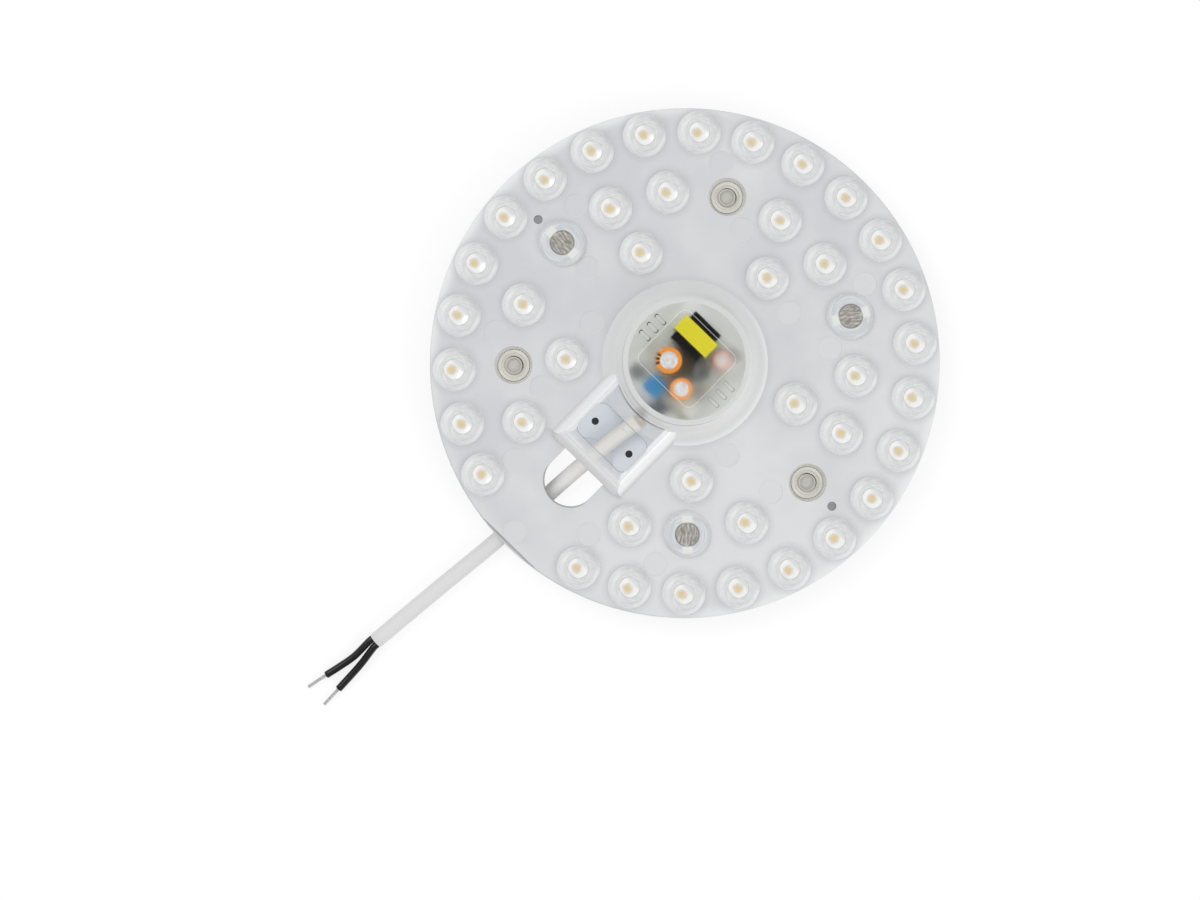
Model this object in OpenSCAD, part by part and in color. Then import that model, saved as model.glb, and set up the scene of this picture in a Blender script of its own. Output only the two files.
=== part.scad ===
// Round magnetic LED module: a clear lens cover over a white LED board, with the driver in a central
// dome, three riveted pot magnets underneath and a short supply cable.
// Z is up, out of the light side. Z = 0 is the plane of the magnet faces. The layout is symmetrical
// about the XZ plane, and the cable leaves towards -X.

/* [Cover] */
// Diameter of the cover at the foot of its skirt
cover_d = 180; // [174:1:200]
// Thickness of the cover's plate
plate_t = 1.6; // [1.2:0.1:2.2]
// Thickness of the skirt's wall at its foot
skirt_t = 1.8; // [1.4:0.1:2.2]
// How far the skirt reaches below the board
skirt_lip = 0.6; // [0.2:0.1:1.0]
// How much the skirt's radius shrinks from its foot to the face
skirt_draft = 0.5; // [0.1:0.1:0.8]
// Rounding of the cover's top edge
edge_r = 0.7; // [0.3:0.1:1.0]
// Depth of the gate flat into the rim, at the face
gate_flat_depth = 1.8; // [0.8:0.1:2.4]

/* [Lenses] */
// Diameter of a lens
lens_d = 15.4; // [13:0.1:16]
// Height of a lens above the cover's face
lens_h = 2; // [1.6:0.1:3]
// Place of a lens's crest on the way from its eye, at 0, to its rim, at 1
lens_crest_share = 0.3; // [0.2:0.05:0.5]
// Diameter of the dimple and of the cavity in the middle of a lens
lens_eye_d = 7; // [6:0.1:9]
// Depth of the dimple
lens_dimple = 0.6; // [0.2:0.1:0.8]
// Height of the cavity above the plate's underside
lens_cavity_h = 1.8; // [1:0.1:2]
// Distance of the outer ring of lenses from the cover's edge
outer_inset = 9; // [8.9:0.1:10]
// Radius of the middle ring, as a share of the outer ring's
middle_share = 0.743; // [0.74:0.001:0.75]
// Radius of the inner ring, as a share of the outer ring's
inner_share = 0.512; // [0.5:0.001:0.53]
// Angle between neighbours on the outer ring
outer_step_angle = 13.6; // [13:0.1:13.9]

/* [Dome] */
// Diameter of the dome's flared foot
dome_foot_d = 58.2; // [56:0.1:60]
// Diameter of the dome above its flare
dome_shoulder_d = 48; // [46:0.1:50]
// Diameter of the dome's top
dome_top_d = 44; // [42:0.1:45]
// Rounding of the dome's top edge
dome_edge_r = 0.9; // [0.5:0.1:1.2]
// Height of the dome above the cover's face
dome_h = 18; // [17.5:0.1:22]
// Thickness of the dome's wall
dome_t = 1.6; // [1.2:0.1:2]
// Thickness of the dome's window
window_t = 1.6; // [1.2:0.1:1.8]
// Length of the rounded rectangular bead on the window, along X
bead_l = 25; // [20:0.5:26]
// Breadth of the bead, along Y
bead_b = 26.3; // [20:0.1:26.5]
// Width and height of the bead
bead_w = 0.4; // [0.3:0.1:1]
// How far the window lies below the dome's rim
window_drop = 0.2; // [0.1:0.1:0.4]
// Width of a vent slot
vent_w = 1.1; // [0.8:0.1:1.6]
// Length of a vent slot
vent_l = 4.2; // [2:0.1:4.3]
// Width of the ledge round a vent slot
vent_ledge = 0.3; // [0.2:0.1:0.5]
// Distance between neighbouring vent slots
vent_pitch = 3.8; // [3:0.1:4.5]

/* [Hood] */
// Width of the cable hood at its foot
hood_w = 34; // [31:0.5:35]
// Width that the hood's two sides lose to their slope
hood_slope = 6.6; // [4:0.1:7]
// Height of the hood above the cover's face
hood_h = 6; // [5.5:0.1:8]
// Distance of the hood's far end from the middle of the cover
hood_end = 50.7; // [50:0.1:54]
// Thickness of the hood's walls
hood_t = 1.5; // [1.2:0.1:2]
// Length of the access window, towards the dome
access_l = 13.6; // [10:0.1:14]
// Width of the access window
access_w = 23.6; // [18:0.1:24]
// Distance of the access window's middle from the middle of the cover
access_x = 36.6; // [36:0.1:37]

/* [Slot] */
// Width of the cable slot
slot_w = 18.5; // [14:0.1:20]
// Distance of the slot's far end from the middle of the cover
slot_end = 66.8; // [66:0.1:72]
// Distance of the slot's near end from the middle of the cover
slot_start = 40; // [36:0.1:41]
// Thickness of the wall round the slot
slot_wall = 1.2; // [0.8:0.1:1.6]

/* [Board] */
// Thickness of the LED board
board_t = 1.2; // [1:0.1:2]
// Gap between the board's edge and the skirt
board_gap = 0.3; // [0.1:0.1:0.6]
// Room between the board and the cover's plate
chamber_h = 2.4; // [2:0.1:3]
// Length of an LED package, along the radius
led_l = 3.5; // [2.8:0.1:4]
// Width of an LED package
led_w = 2.8; // [2.4:0.1:3.5]
// Height of an LED package
led_h = 0.8; // [0.5:0.1:1]

/* [Fixings] */
// Diameter of the two screw holes
screw_hole_d = 3.2; // [2.8:0.1:3.6]
// Distance of the screw holes from the outer ring of lenses
screw_inset = 9; // [8.8:0.1:9.2]
// Diameter of a snap cup
cup_d = 16.6; // [16:0.1:16.8]
// Diameter of the board's round hole under a snap cup
snap_hole_d = 8.8; // [7:0.1:9]
// Width of a snap hook
hook_w = 3.6; // [2.5:0.1:4]
// Diameter of an open well at the face
well_d = 13.4; // [12:0.1:13.6]
// Diameter of an open well at the board
well_foot_d = 10.8; // [10.4:0.1:11.6]
// Height of the board's underside above the magnet faces
stand_h = 7; // [6.8:0.1:9]
// Diameter of a magnet pot
pot_d = 16; // [14:0.5:20]
// Height of a magnet pot
pot_h = 5.6; // [5:0.1:6.4]
// Diameter of a magnet
magnet_d = 12.6; // [10:0.1:12.8]
// Height of a magnet
magnet_h = 4.2; // [3:0.1:4.4]
// Diameter of the cup washers
washer_d = 10.4; // [9:0.1:10.4]

/* [Driver] */
// Length of the driver board, along X
driver_l = 36; // [36:0.5:38]
// Width of the driver board
driver_w = 30; // [30:0.5:32]
// Thickness of the driver board
driver_t = 1.2; // [1:0.1:1.6]
// Gap under the driver board
driver_gap = 2; // [1.5:0.1:2.2]
// Diameter of the large orange capacitor
bulk_d = 9.2; // [8:0.1:9.4]
// Height of the large orange capacitor
bulk_h = 15.4; // [12:0.1:15.5]
// Diameter of the small orange capacitor
output_d = 7.8; // [6.3:0.1:8]
// Height of the small orange capacitor
output_h = 14; // [11:0.1:15]
// Height of the transformer with its tape
transformer_h = 15.6; // [14:0.1:15.8]
// Width of the yellow tape
tape_w = 6.2; // [6:0.1:6.6]

/* [Cable] */
// Diameter of the white sheath
sheath_d = 5.7; // [5:0.1:5.8]
// Diameter of the black cores
core_d = 2.6; // [2:0.1:2.7]
// Diameter of the tinned ends
tip_d = 1.3; // [0.8:0.1:1.6]

/* [Hidden] */
$fn = 72;

// Levels, from the magnet faces up
board_z = stand_h;
deck_z = board_z + board_t;
under_z = deck_z + chamber_h;
face_z = under_z + plate_t;
skirt_z = board_z - skirt_lip;
shoulder_z = face_z + hood_h;
dome_z = face_z + dome_h;
window_z = dome_z - window_drop;
ceiling_z = window_z - window_t;
lens_z = face_z + lens_h;
driver_z = deck_z + driver_gap;
mount_z = driver_z + driver_t;

// Radii
cover_r = cover_d / 2;
skirt_in_r = cover_r - skirt_t;
board_r = skirt_in_r - board_gap;
outer_ring_r = cover_r - outer_inset;
middle_ring_r = middle_share * outer_ring_r;
inner_ring_r = inner_share * outer_ring_r;
screw_r = outer_ring_r - screw_inset;

// Angles about Z of what is set out on the rings
outer_half_count = 12;
outer_angles = [for (i = [-outer_half_count:outer_half_count]) i * outer_step_angle];
middle_angles = mirrored([10.5, 50, 70, 114.5, 154.5]);
inner_angles = concat([0], mirrored([66, 132.5]));
snap_angles = [-30, 90, -135];
well_angles = [30, -90, 135];
screw_angles = [90, -90];

// Ejector pin marks on the plate: share of the outer ring's radius, and angle
pin_mark_d = 8.4;
pin_mark_depth = 0.12;
pin_marks = [
    [0.83, 125], [0.63, 144], [0.85, 164], [0.44, 111], [1.04, 179], [0.85, -165], [0.88, -144], [0.83, 79],
    [0.59, 90], [0.88, 34], [0.63, 21], [0.85, -22], [0.5, -20], [0.63, -40], [0.44, -111], [0.67, -102]
];

// Small sizes that several pieces share
seat = 0.1;
cut = 1;
cup_t = 1.2;
cup_space_d = 13.2;
hook_r = 6;
hook_t = 1.3;
hook_gap = 0.2;
collar_t = 0.9;
screw_collar_d = 6.6;
shank_d = 4.8;
shank_gap = 0.1;
tie_hole_d = 2.6;
tie_hole_y = 8.3;
header_at = [[-4, 12.8], [5, -13.2]];
header_pitch = 2.54;
pin_w = 0.64;
pin_hole_d = 1;

// How far from the middle the sheath ends, in the dome's wall. The wall at its height follows the shoulder
// most of the way and the foot a little, and so does the end.
sheath_in = 0.8 * dome_shoulder_d / 2 + 0.25 * dome_foot_d / 2 - 0.1;
// The sheath's way aside from the axis, where it comes into the dome
function dome_y(x) = -0.8 - 0.175 * (36 - x);

// Points of the sheath's middle line, from the dome to its stripped end: X, Y and the share of the way
// up from lying on the floor, at 0, to lying on the LED board, at 1
sheath_path = [
    [-sheath_in, dome_y(sheath_in), 1.15], [-sheath_in - 4, dome_y(sheath_in + 4), 1.05],
    [-31.5, dome_y(31.5), 1], [-36, dome_y(36), 1], [-41, -0.2, 1],
    [-45, 0.3, 0.95], [-49, 0.7, 0.82], [-54, 1.2, 0.5], [-59, 1.6, 0.18], [-63, 1.9, 0.04], [-68, 2.2, 0],
    [-80, 3, 0], [-95, 4.2, 0], [-111, 6, 0], [-127, 7.7, 0], [-147, 9.7, 0]
];
sheath_low_z = sheath_d / 2;
sheath_high_z = deck_z + sheath_d / 2;
sheath_route = [for (p = sheath_path) [p.x, p.y, sheath_low_z + p.z * (sheath_high_z - sheath_low_z)]];
// Where ribs under the hood hold the sheath down
grip_x = [-28.2, -46];
// Points that each core passes after it leaves the sheath
core_a_bends = [[-156, 11.3, 2.1], [-162, 12.4, 1.5], [-168, 13.8, 1.4]];
core_b_bends = [[-156, 7.7, 2.1], [-162, 7.4, 1.5], [-168.5, 7.2, 1.4]];
tip_a_end = [-175.5, 15.4, 1.1];
tip_b_end = [-176, 7, 1.1];
// Where the inner cores reach the driver board
pad_a = [-15.6, -6];
pad_b = [-15.6, -3.3];
// How far the cores go straight on from the sheath, outside and inside the dome
core_lead = 2;
inner_lead = 4;

// A list of angles, with the same angles on the other side of the X axis
function mirrored(half) = concat(half, [for (a = half) -a]);

// A curve from p to q that leaves p towards the corner and reaches q from it
function bend(p, corner, q, steps = 5) = [
    for (i = [0:steps]) let (t = i / steps)
    (1 - t) * (1 - t) * p + 2 * t * (1 - t) * corner + t * t * q
];

function unit(v) = v / norm(v);

// The direction of a route at its i-th point
function along(route, i) = unit(route[min(i + 1, len(route) - 1)] - route[max(i - 1, 0)]);

// The level sideways direction of a route at its i-th point
function aside(route, i) = unit(cross([0, 0, 1], along(route, i)));

// The ring of points about a route's i-th point
function ring(route, i, r, sides) =
    let (side = aside(route, i), up = cross(along(route, i), side))
    [for (k = [0:sides - 1]) let (a = 360 * (k + 0.5) / sides) route[i] + r * (cos(a) * side + sin(a) * up)];

// A round cord along a route
module cord(route, d, sides) {
    n = len(route);
    points = [for (i = [0:n - 1]) each ring(route, i, d / 2, sides)];
    walls = [
        for (i = [0:n - 2], k = [0:sides - 1])
        let (a = i * sides + k, b = i * sides + (k + 1) % sides)
        [a, a + sides, b + sides, b]
    ];
    first = [for (k = [0:sides - 1]) k];
    last = [for (k = [sides - 1:-1:0]) (n - 1) * sides + k];
    polyhedron(points, concat([first], walls, [last]));
}

// Puts its child at each angle of a ring, with the child's X axis along the radius
module on_ring(r, angles) {
    for (a = angles) rotate(a) translate([r, 0, 0]) children();
}

// A rectangle with rounded corners about the origin
module rounded_rectangle(l, w, r) {
    square([l - 2 * r, w], center = true);
    square([l, w - 2 * r], center = true);
    for (x = [-1, 1], y = [-1, 1]) translate([x * (l / 2 - r), y * (w / 2 - r)]) circle(r);
}

// The outline of the slot, grown by some amount on every side
module slot_outline(grow = 0) {
    r = slot_w / 2;
    for (x = [slot_start + r, slot_end - r]) translate([-x, 0]) circle(r + grow);
    translate([-slot_end + r, -r - grow]) square([slot_end - slot_start - slot_w, slot_w + 2 * grow]);
}

// The dome's side from the plate up, drawn in by some amount, with its top edge rounded
function dome_side(inset, foot_z, top_z, round_r) = concat(
    bend(
        [dome_foot_d / 2 - inset, foot_z],
        [dome_shoulder_d / 2 + 1 - inset, foot_z + 1.2],
        [dome_shoulder_d / 2 - inset, shoulder_z]
    ),
    bend(
        [dome_top_d / 2 + 0.1 - inset, top_z - round_r],
        [dome_top_d / 2 - inset, top_z],
        [dome_top_d / 2 - round_r - inset, top_z]
    )
);

// Plate, skirt and dome as one turned solid, with the dome's window a little below its rim
module cover_body() {
    top_r = cover_r - skirt_draft;
    window_r = dome_top_d / 2 - dome_t - window_drop;
    rotate_extrude() polygon(concat(
        [[0, skirt_z], [cover_r, skirt_z]],
        bend([top_r, face_z - edge_r], [top_r, face_z], [top_r - edge_r, face_z], 3),
        dome_side(0, face_z, dome_z, dome_edge_r),
        [[window_r + window_drop, dome_z], [window_r, window_z], [0, window_z]]
    ));
}

// The space under the plate, inside the skirt
module chamber() {
    rotate_extrude() polygon([
        [0, skirt_z - cut], [skirt_in_r, skirt_z - cut], [skirt_in_r, under_z], [0, under_z]
    ]);
}

// The space inside the dome
module dome_space() {
    rotate_extrude() polygon(concat(
        [[0, under_z - cut], [dome_foot_d / 2 - dome_t, under_z - cut]],
        dome_side(dome_t, under_z, ceiling_z, dome_edge_r / 3),
        [[0, ceiling_z]]
    ));
}

// One lens: a round bulge with a crest about the dimple in its middle
module lens() {
    r = lens_d / 2;
    eye_r = lens_eye_d / 2;
    crest_r = eye_r + lens_crest_share * (r - eye_r);
    dimple_z = lens_z - lens_dimple;
    rotate_extrude() polygon(concat(
        [[0, face_z - plate_t / 2], [r, face_z - plate_t / 2]],
        bend([r, face_z], [r - lens_h / 3, lens_z - lens_h / 6], [crest_r, lens_z], 7),
        bend([eye_r, lens_z - lens_dimple / 4], [eye_r / 2, dimple_z], [0, dimple_z], 4)
    ));
}

// The cavity over one LED
module lens_cavity() {
    eye_r = lens_eye_d / 2;
    top_z = under_z + lens_cavity_h;
    rotate_extrude() polygon(concat(
        [[0, under_z - cut], [eye_r, under_z - cut]],
        bend([eye_r, under_z], [eye_r, top_z], [0, top_z], 6)
    ));
}

// The places of all lenses and LEDs
module at_lenses() {
    on_ring(outer_ring_r, outer_angles) children();
    on_ring(middle_ring_r, middle_angles) children();
    on_ring(inner_ring_r, inner_angles) children();
}

// A clear cup over one snap post
module snap_cup() {
    r = cup_d / 2;
    rotate_extrude() polygon(concat(
        [[0, face_z - plate_t / 2], [r, face_z - plate_t / 2]],
        bend([r - 0.2, lens_z - 1.2], [r - 0.3, lens_z], [r - 1.6, lens_z], 4),
        [[0, lens_z]]
    ));
}

// The space inside one snap cup
module snap_cup_space() {
    translate([0, 0, under_z - cut]) cylinder(d = cup_space_d, h = lens_z - cup_t - under_z + cut);
}

// The two hooks that catch under the board, and the ribs between them
module snap_post() {
    ceiling = lens_z - cup_t;
    barb = 1;
    barb_z = board_z - seat;
    for (turn = [0, 180]) rotate(turn) rotate([90, 0, 0])
        linear_extrude(hook_w, center = true) polygon([
            [hook_r - hook_t, ceiling + cup_t / 2], [hook_r - hook_t, barb_z - 1.5],
            [hook_r, barb_z - 1.5], [hook_r + barb, barb_z - 0.5], [hook_r + barb, barb_z],
            [hook_r, barb_z], [hook_r, ceiling + cup_t / 2]
        ]);
    rib_l = snap_hole_d - 1.4;
    rib_t = 0.8;
    rib_pitch = 2.3;
    rib_z = deck_z + 1;
    for (y = [-rib_pitch, 0, rib_pitch])
        translate([-rib_l / 2, y - rib_t / 2, rib_z]) cube([rib_l, rib_t, ceiling + cup_t / 2 - rib_z]);
}

// The tapered hole of one open well
module well() {
    translate([0, 0, deck_z - cut]) cylinder(d = well_foot_d, h = cut + seat);
    translate([0, 0, deck_z]) cylinder(d1 = well_foot_d, d2 = well_d, h = face_z - deck_z);
    translate([0, 0, face_z - seat]) cylinder(d = well_d, h = cut);
}

// The wall round one open well, down to the board
module well_collar() {
    translate([0, 0, deck_z]) cylinder(
        d1 = well_foot_d + 2 * collar_t, d2 = well_d + 2 * collar_t, h = face_z - deck_z - plate_t / 2
    );
}

// The hood's solid, drawn in by some amount on its top, sides and end
module hood_body(inset, foot_z) {
    top_z = shoulder_z - inset;
    half = hood_w / 2 - inset;
    top_half = half - hood_slope / 2;
    end_x = -hood_end + inset;
    nose_z = face_z + 2.2 - inset;
    shoulder = 1.6;
    side = top_half + shoulder / 2;
    corner = 3.2 - inset;
    intersection() {
        linear_extrude(shoulder_z + cut) rounded_rectangle(-2 * end_x, 2 * half, corner);
        translate([end_x - cut, 0, 0]) rotate([90, 0, 90]) linear_extrude(hood_end) polygon(concat(
            [[-half, foot_z], [half, foot_z], [half, face_z]],
            bend([side, top_z - shoulder], [top_half, top_z], [top_half - shoulder, top_z], 4),
            bend([shoulder - top_half, top_z], [-top_half, top_z], [-side, top_z - shoulder], 4),
            [[-half, face_z]]
        ));
        translate([0, half + cut, 0]) rotate([90, 0, 0]) linear_extrude(2 * half + 2 * cut) polygon(concat(
            [[end_x, foot_z]],
            bend([end_x, nose_z], [end_x + 2.2, top_z], [end_x + 6.5, top_z], 5),
            [[-dome_top_d / 4, top_z], [-dome_top_d / 4, foot_z]]
        ));
    }
}

// The space in the hood, outside the dome's own wall
module hood_space() {
    difference() {
        hood_body(hood_t, under_z - cut);
        rotate_extrude() polygon(concat(
            [[0, under_z - 2 * cut], [dome_foot_d / 2, under_z - 2 * cut], [dome_foot_d / 2, under_z - seat]],
            dome_side(0, under_z, dome_z, dome_edge_r),
            [[0, dome_z]]
        ));
    }
}

// A rib under the hood's top that holds the sheath down
module grip_rib(x) {
    rib_t = 1.2;
    rib_w = sheath_d + 5;
    rib_z = lookup(x, [for (p = sheath_route) [p.x, p.z]]) + sheath_d / 2 + seat;
    translate([x - rib_t / 2, -rib_w / 2, rib_z]) cube([rib_t, rib_w, shoulder_z - hood_t / 2 - rib_z]);
}

// The channel that the sheath and its cores take through the dome's wall and the ribs
module sheath_channel() {
    near = sheath_route[0];
    far = sheath_route[3];
    r = sheath_d / 2 + seat;
    reach = far - near;
    turn = atan2(reach.y, reach.x);
    length = norm(reach) + inner_lead;
    translate(near) rotate([0, 0, turn]) translate([-inner_lead, 0, 0]) {
        rotate([0, 90, 0]) cylinder(r = r, h = length);
        translate([0, -r, under_z - cut - near.z]) cube([length, 2 * r, near.z - under_z + cut]);
    }
}

module lens_cover() color([0.86, 0.88, 0.9, 0.75]) difference() {
    union() {
        difference() {
            union() {
                difference() {
                    cover_body();
                    for (mark = pin_marks) on_ring(mark[0] * outer_ring_r, [mark[1]]) pin_mark();
                }
                hood_body(0, face_z - plate_t / 2);
                at_lenses() lens();
                on_ring(middle_ring_r, snap_angles) snap_cup();
            }
            chamber();
            dome_space();
            hood_space();
            at_lenses() lens_cavity();
            on_ring(middle_ring_r, snap_angles) snap_cup_space();
        }
        on_ring(middle_ring_r, snap_angles) snap_post();
        on_ring(middle_ring_r, well_angles) well_collar();
        on_ring(screw_r, screw_angles) screw_collar();
        slot_collar();
        for (x = grip_x) grip_rib(x);
        window_bead();
    }
    on_ring(middle_ring_r, well_angles) well();
    on_ring(screw_r, screw_angles) screw_hole();
    translate([0, 0, deck_z - cut]) linear_extrude(face_z + 1 - deck_z + cut) slot_outline();
    access_window();
    hood_seam();
    vents();
    sheath_channel();
    gate_flat();
}

// The wall round one screw hole, down to the board
module screw_collar() {
    translate([0, 0, deck_z]) cylinder(d = screw_collar_d, h = face_z - deck_z - plate_t / 2);
}

// One screw hole through the cover
module screw_hole() {
    translate([0, 0, deck_z - cut]) cylinder(d = screw_hole_d, h = face_z - deck_z + 2 * cut);
}

// The shallow round mark of one ejector pin
module pin_mark() {
    translate([0, 0, face_z - pin_mark_depth]) cylinder(d = pin_mark_d, h = cut);
}

// The wall round the slot, outside the hood, down to the board
module slot_collar() {
    far = slot_end + 2 * slot_wall;
    translate([0, 0, deck_z]) linear_extrude(face_z - deck_z - plate_t / 2) intersection() {
        slot_outline(slot_wall);
        translate([-far, -slot_w]) square([far - hood_end, 2 * slot_w]);
    }
}

// The thin raised line on the dome's window, a little off its middle
bead_at = [0.5, 0.5];
module window_bead() {
    corner = 3;
    translate([bead_at.x, bead_at.y, window_z - seat]) linear_extrude(bead_w + seat) difference() {
        rounded_rectangle(bead_l, bead_b, corner);
        rounded_rectangle(bead_l - 2 * bead_w, bead_b - 2 * bead_w, corner - bead_w);
    }
}

// The narrow groove where the hood's top meets the dome
module hood_seam() {
    near = dome_shoulder_d / 2 + 0.3;
    groove_w = 0.5;
    groove_h = 1;
    rotate_extrude() translate([near, shoulder_z - groove_h]) square([groove_w, groove_h + cut]);
}

// The opening in the hood's top
module access_window() {
    translate([-access_x, 0, shoulder_z - hood_t - cut]) linear_extrude(hood_t + 2 * cut)
        rounded_rectangle(access_l, access_w, 3);
}

// Three slots through the window on each side, each with a ledge round its upper edge
module vents() {
    vent_y = bead_b / 2 + 1.2 + vent_l / 2;
    ledge_depth = 0.4;
    for (side = [-1, 1], i = [-1:1]) translate([i * vent_pitch, side * vent_y, 0]) {
        translate([0, 0, ceiling_z - cut]) linear_extrude(window_t + 2 * cut) vent_outline(0);
        translate([0, 0, window_z - ledge_depth]) linear_extrude(ledge_depth + cut) vent_outline(vent_ledge);
    }
}

// The outline of one vent slot, grown by some amount on every side
module vent_outline(grow) {
    rounded_rectangle(vent_w + 2 * grow, vent_l + 2 * grow, vent_w / 2.5 + grow);
}

// The sloped flat on the rim where the moulding was gated, over the cable's way out
module gate_flat() {
    rise = face_z - skirt_z;
    depth = gate_flat_depth;
    translate([0, cover_r / 2, 0]) rotate([90, 0, 0]) linear_extrude(cover_r) polygon([
        [-cover_r - cut, skirt_z + rise / 4], [-cover_r + depth / 4, skirt_z + rise / 4],
        [-cover_r + depth, face_z + seat], [-cover_r + depth, face_z + cut], [-cover_r - cut, face_z + cut]
    ]);
}

module led_board() color([0.95, 0.95, 0.94]) translate([0, 0, board_z]) linear_extrude(board_t) difference() {
    circle(board_r);
    slot_outline();
    on_ring(middle_ring_r, snap_angles) snap_hole();
    on_ring(middle_ring_r, well_angles) circle(d = shank_d + 2 * shank_gap);
    on_ring(screw_r, screw_angles) circle(d = screw_hole_d);
    for (y = [-tie_hole_y, tie_hole_y]) translate([-access_x, y]) circle(d = tie_hole_d);
}

// The board's hole under one snap cup: round, with a notch for each hook
module snap_hole() {
    circle(d = snap_hole_d);
    square([2 * (hook_r + hook_gap), hook_w + 2 * hook_gap], center = true);
}

// One LED package with the shallow round recess that holds its phosphor
module led() {
    recess_d = led_w - 0.6;
    translate([0, 0, deck_z]) difference() {
        translate([-led_l / 2, -led_w / 2, 0]) cube([led_l, led_w, led_h]);
        translate([0, 0, led_h - seat]) cylinder(d = recess_d, h = cut);
    }
}

module leds_outer_ring() color([1, 0.93, 0.7]) on_ring(outer_ring_r, outer_angles) led();
module leds_middle_ring() color([1, 0.93, 0.7]) on_ring(middle_ring_r, middle_angles) led();
module leds_inner_ring() color([1, 0.93, 0.7]) on_ring(inner_ring_r, inner_angles) led();

// A steel pot with a hollow shank that is riveted over a washer on top of the board
module magnet_pot(i) {
    r = pot_d / 2;
    rim = 0.5;
    shoulder_r = 4.6;
    head_r = 3.3;
    head_in_r = 2.6;
    head_z = washer_seat_z();
    color([0.72, 0.72, 0.7]) on_ring(middle_ring_r, [well_angles[i]]) rotate_extrude() polygon(concat(
        [[magnet_d / 2, 0], [r - rim, 0], [r, rim], [r, pot_h - 2 * rim]],
        bend([r, pot_h - 2 * rim], [r, pot_h], [r - 2 * rim, pot_h], 3),
        [[shoulder_r, pot_h], [shoulder_r, board_z], [shank_d / 2, board_z], [shank_d / 2, head_z]],
        [[head_r, head_z]],
        bend([head_r, head_z + 0.4], [head_r, head_z + 1], [head_in_r, head_z + 1], 3),
        [[head_in_r - 0.5, head_z - 0.2], [0, head_z - 0.2], [0, magnet_h], [magnet_d / 2, magnet_h]]
    ));
}
module magnet_pot_1() magnet_pot(0);
module magnet_pot_2() magnet_pot(1);
module magnet_pot_3() magnet_pot(2);

module magnet(i) color([0.8, 0.8, 0.8])
    on_ring(middle_ring_r, [well_angles[i]]) cylinder(d = magnet_d, h = magnet_h);
module magnet_1() magnet(0);
module magnet_2() magnet(1);
module magnet_3() magnet(2);

// The level of the washer's upper face round the shank
function washer_seat_z() = deck_z + 0.5;

// A pressed washer with a raised outer rim
module cup_washer(i) {
    r = washer_d / 2;
    rim_w = 0.7;
    rim_h = 0.6;
    seat_z = washer_seat_z();
    color([0.76, 0.75, 0.72]) on_ring(middle_ring_r, [well_angles[i]]) rotate_extrude() polygon([
        [shank_d / 2 + shank_gap, deck_z], [r, deck_z], [r, seat_z + rim_h],
        [r - rim_w, seat_z + rim_h], [r - rim_w - 0.4, seat_z], [shank_d / 2 + shank_gap, seat_z]
    ]);
}
module cup_washer_1() cup_washer(0);
module cup_washer_2() cup_washer(1);
module cup_washer_3() cup_washer(2);

// The places of the header's pins
module at_header_pins() {
    for (h = header_at, side = [-1, 1]) translate([h.x + side * header_pitch / 2, h.y, 0]) children();
}

module driver_board() color([0.88, 0.9, 0.86])
    translate([0, 0, driver_z]) linear_extrude(driver_t) difference() {
        rounded_rectangle(driver_l, driver_w, 2);
        at_header_pins() circle(d = pin_hole_d);
    }

module header_blocks() color([0.1, 0.1, 0.1]) for (h = header_at)
    translate([h.x, h.y, deck_z]) linear_extrude(driver_gap) difference() {
        square([2 * header_pitch, header_pitch], center = true);
        for (side = [-1, 1]) translate([side * header_pitch / 2, 0]) square(pin_w, center = true);
    }

module header_pins() color([0.85, 0.8, 0.6]) at_header_pins()
    translate([-pin_w / 2, -pin_w / 2, deck_z]) cube([pin_w, pin_w, driver_gap + driver_t + 1]);

// The transformer's sizes: middle, core length along Y, core depth along X, leg and bar thickness
transformer_at = [8.4, 3.7];
tape_t = 0.25;
core_l = 14.4;
core_depth = 6;
core_leg = 2;
core_bar = 2.6;
base_h = 3;
core_z = mount_z + base_h + tape_t;
core_top_z = mount_z + transformer_h - tape_t;
bobbin_l = core_l - 2 * core_leg - 0.2;
bobbin_d = 12.6;
bobbin_wall = 0.8;
limb_l = 3.6;

module transformer_core() color([0.12, 0.12, 0.13]) translate([transformer_at.x, transformer_at.y, core_z]) {
    height = core_top_z - core_z;
    rotate([90, 0, 90]) linear_extrude(core_depth, center = true) difference() {
        translate([-core_l / 2, 0]) square([core_l, height]);
        for (side = [-1, 1]) translate([side * (limb_l + bobbin_l + 0.2) / 4, height / 2])
            square([(bobbin_l + 0.2 - limb_l) / 2, height - 2 * core_bar], center = true);
    }
}

// The bobbin: two flanges on a tube, feet below and a cheek on each side of the tape
module transformer_bobbin() color([0.08, 0.08, 0.08]) translate([transformer_at.x, transformer_at.y, 0]) {
    low = core_z + core_bar;
    high = core_top_z - core_bar;
    tube_d = core_depth + 2 * bobbin_wall;
    tube_l = limb_l + 2 * bobbin_wall;
    difference() {
        union() {
            for (z = [low, high - bobbin_wall])
                translate([0, 0, z]) linear_extrude(bobbin_wall) rounded_rectangle(bobbin_d, bobbin_l, 1);
            translate([0, 0, low]) linear_extrude(high - low) square([tube_d, tube_l], center = true);
        }
        translate([0, 0, low - cut]) linear_extrude(high - low + 2 * cut)
            square([core_depth, limb_l], center = true);
    }
    foot_w = (bobbin_d - tape_w) / 2;
    for (x = [-bobbin_d / 2, tape_w / 2])
        translate([x, -bobbin_l / 2, mount_z]) cube([foot_w, bobbin_l, low - mount_z + seat]);
    cheek_l = bobbin_l + 2;
    cheek_h = core_bar + bobbin_wall - 2 * seat;
    for (x = [-bobbin_d / 2, tape_w / 2 + seat])
        translate([x, -cheek_l / 2, high - bobbin_wall]) cube([foot_w - seat, cheek_l, cheek_h]);
}

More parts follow.
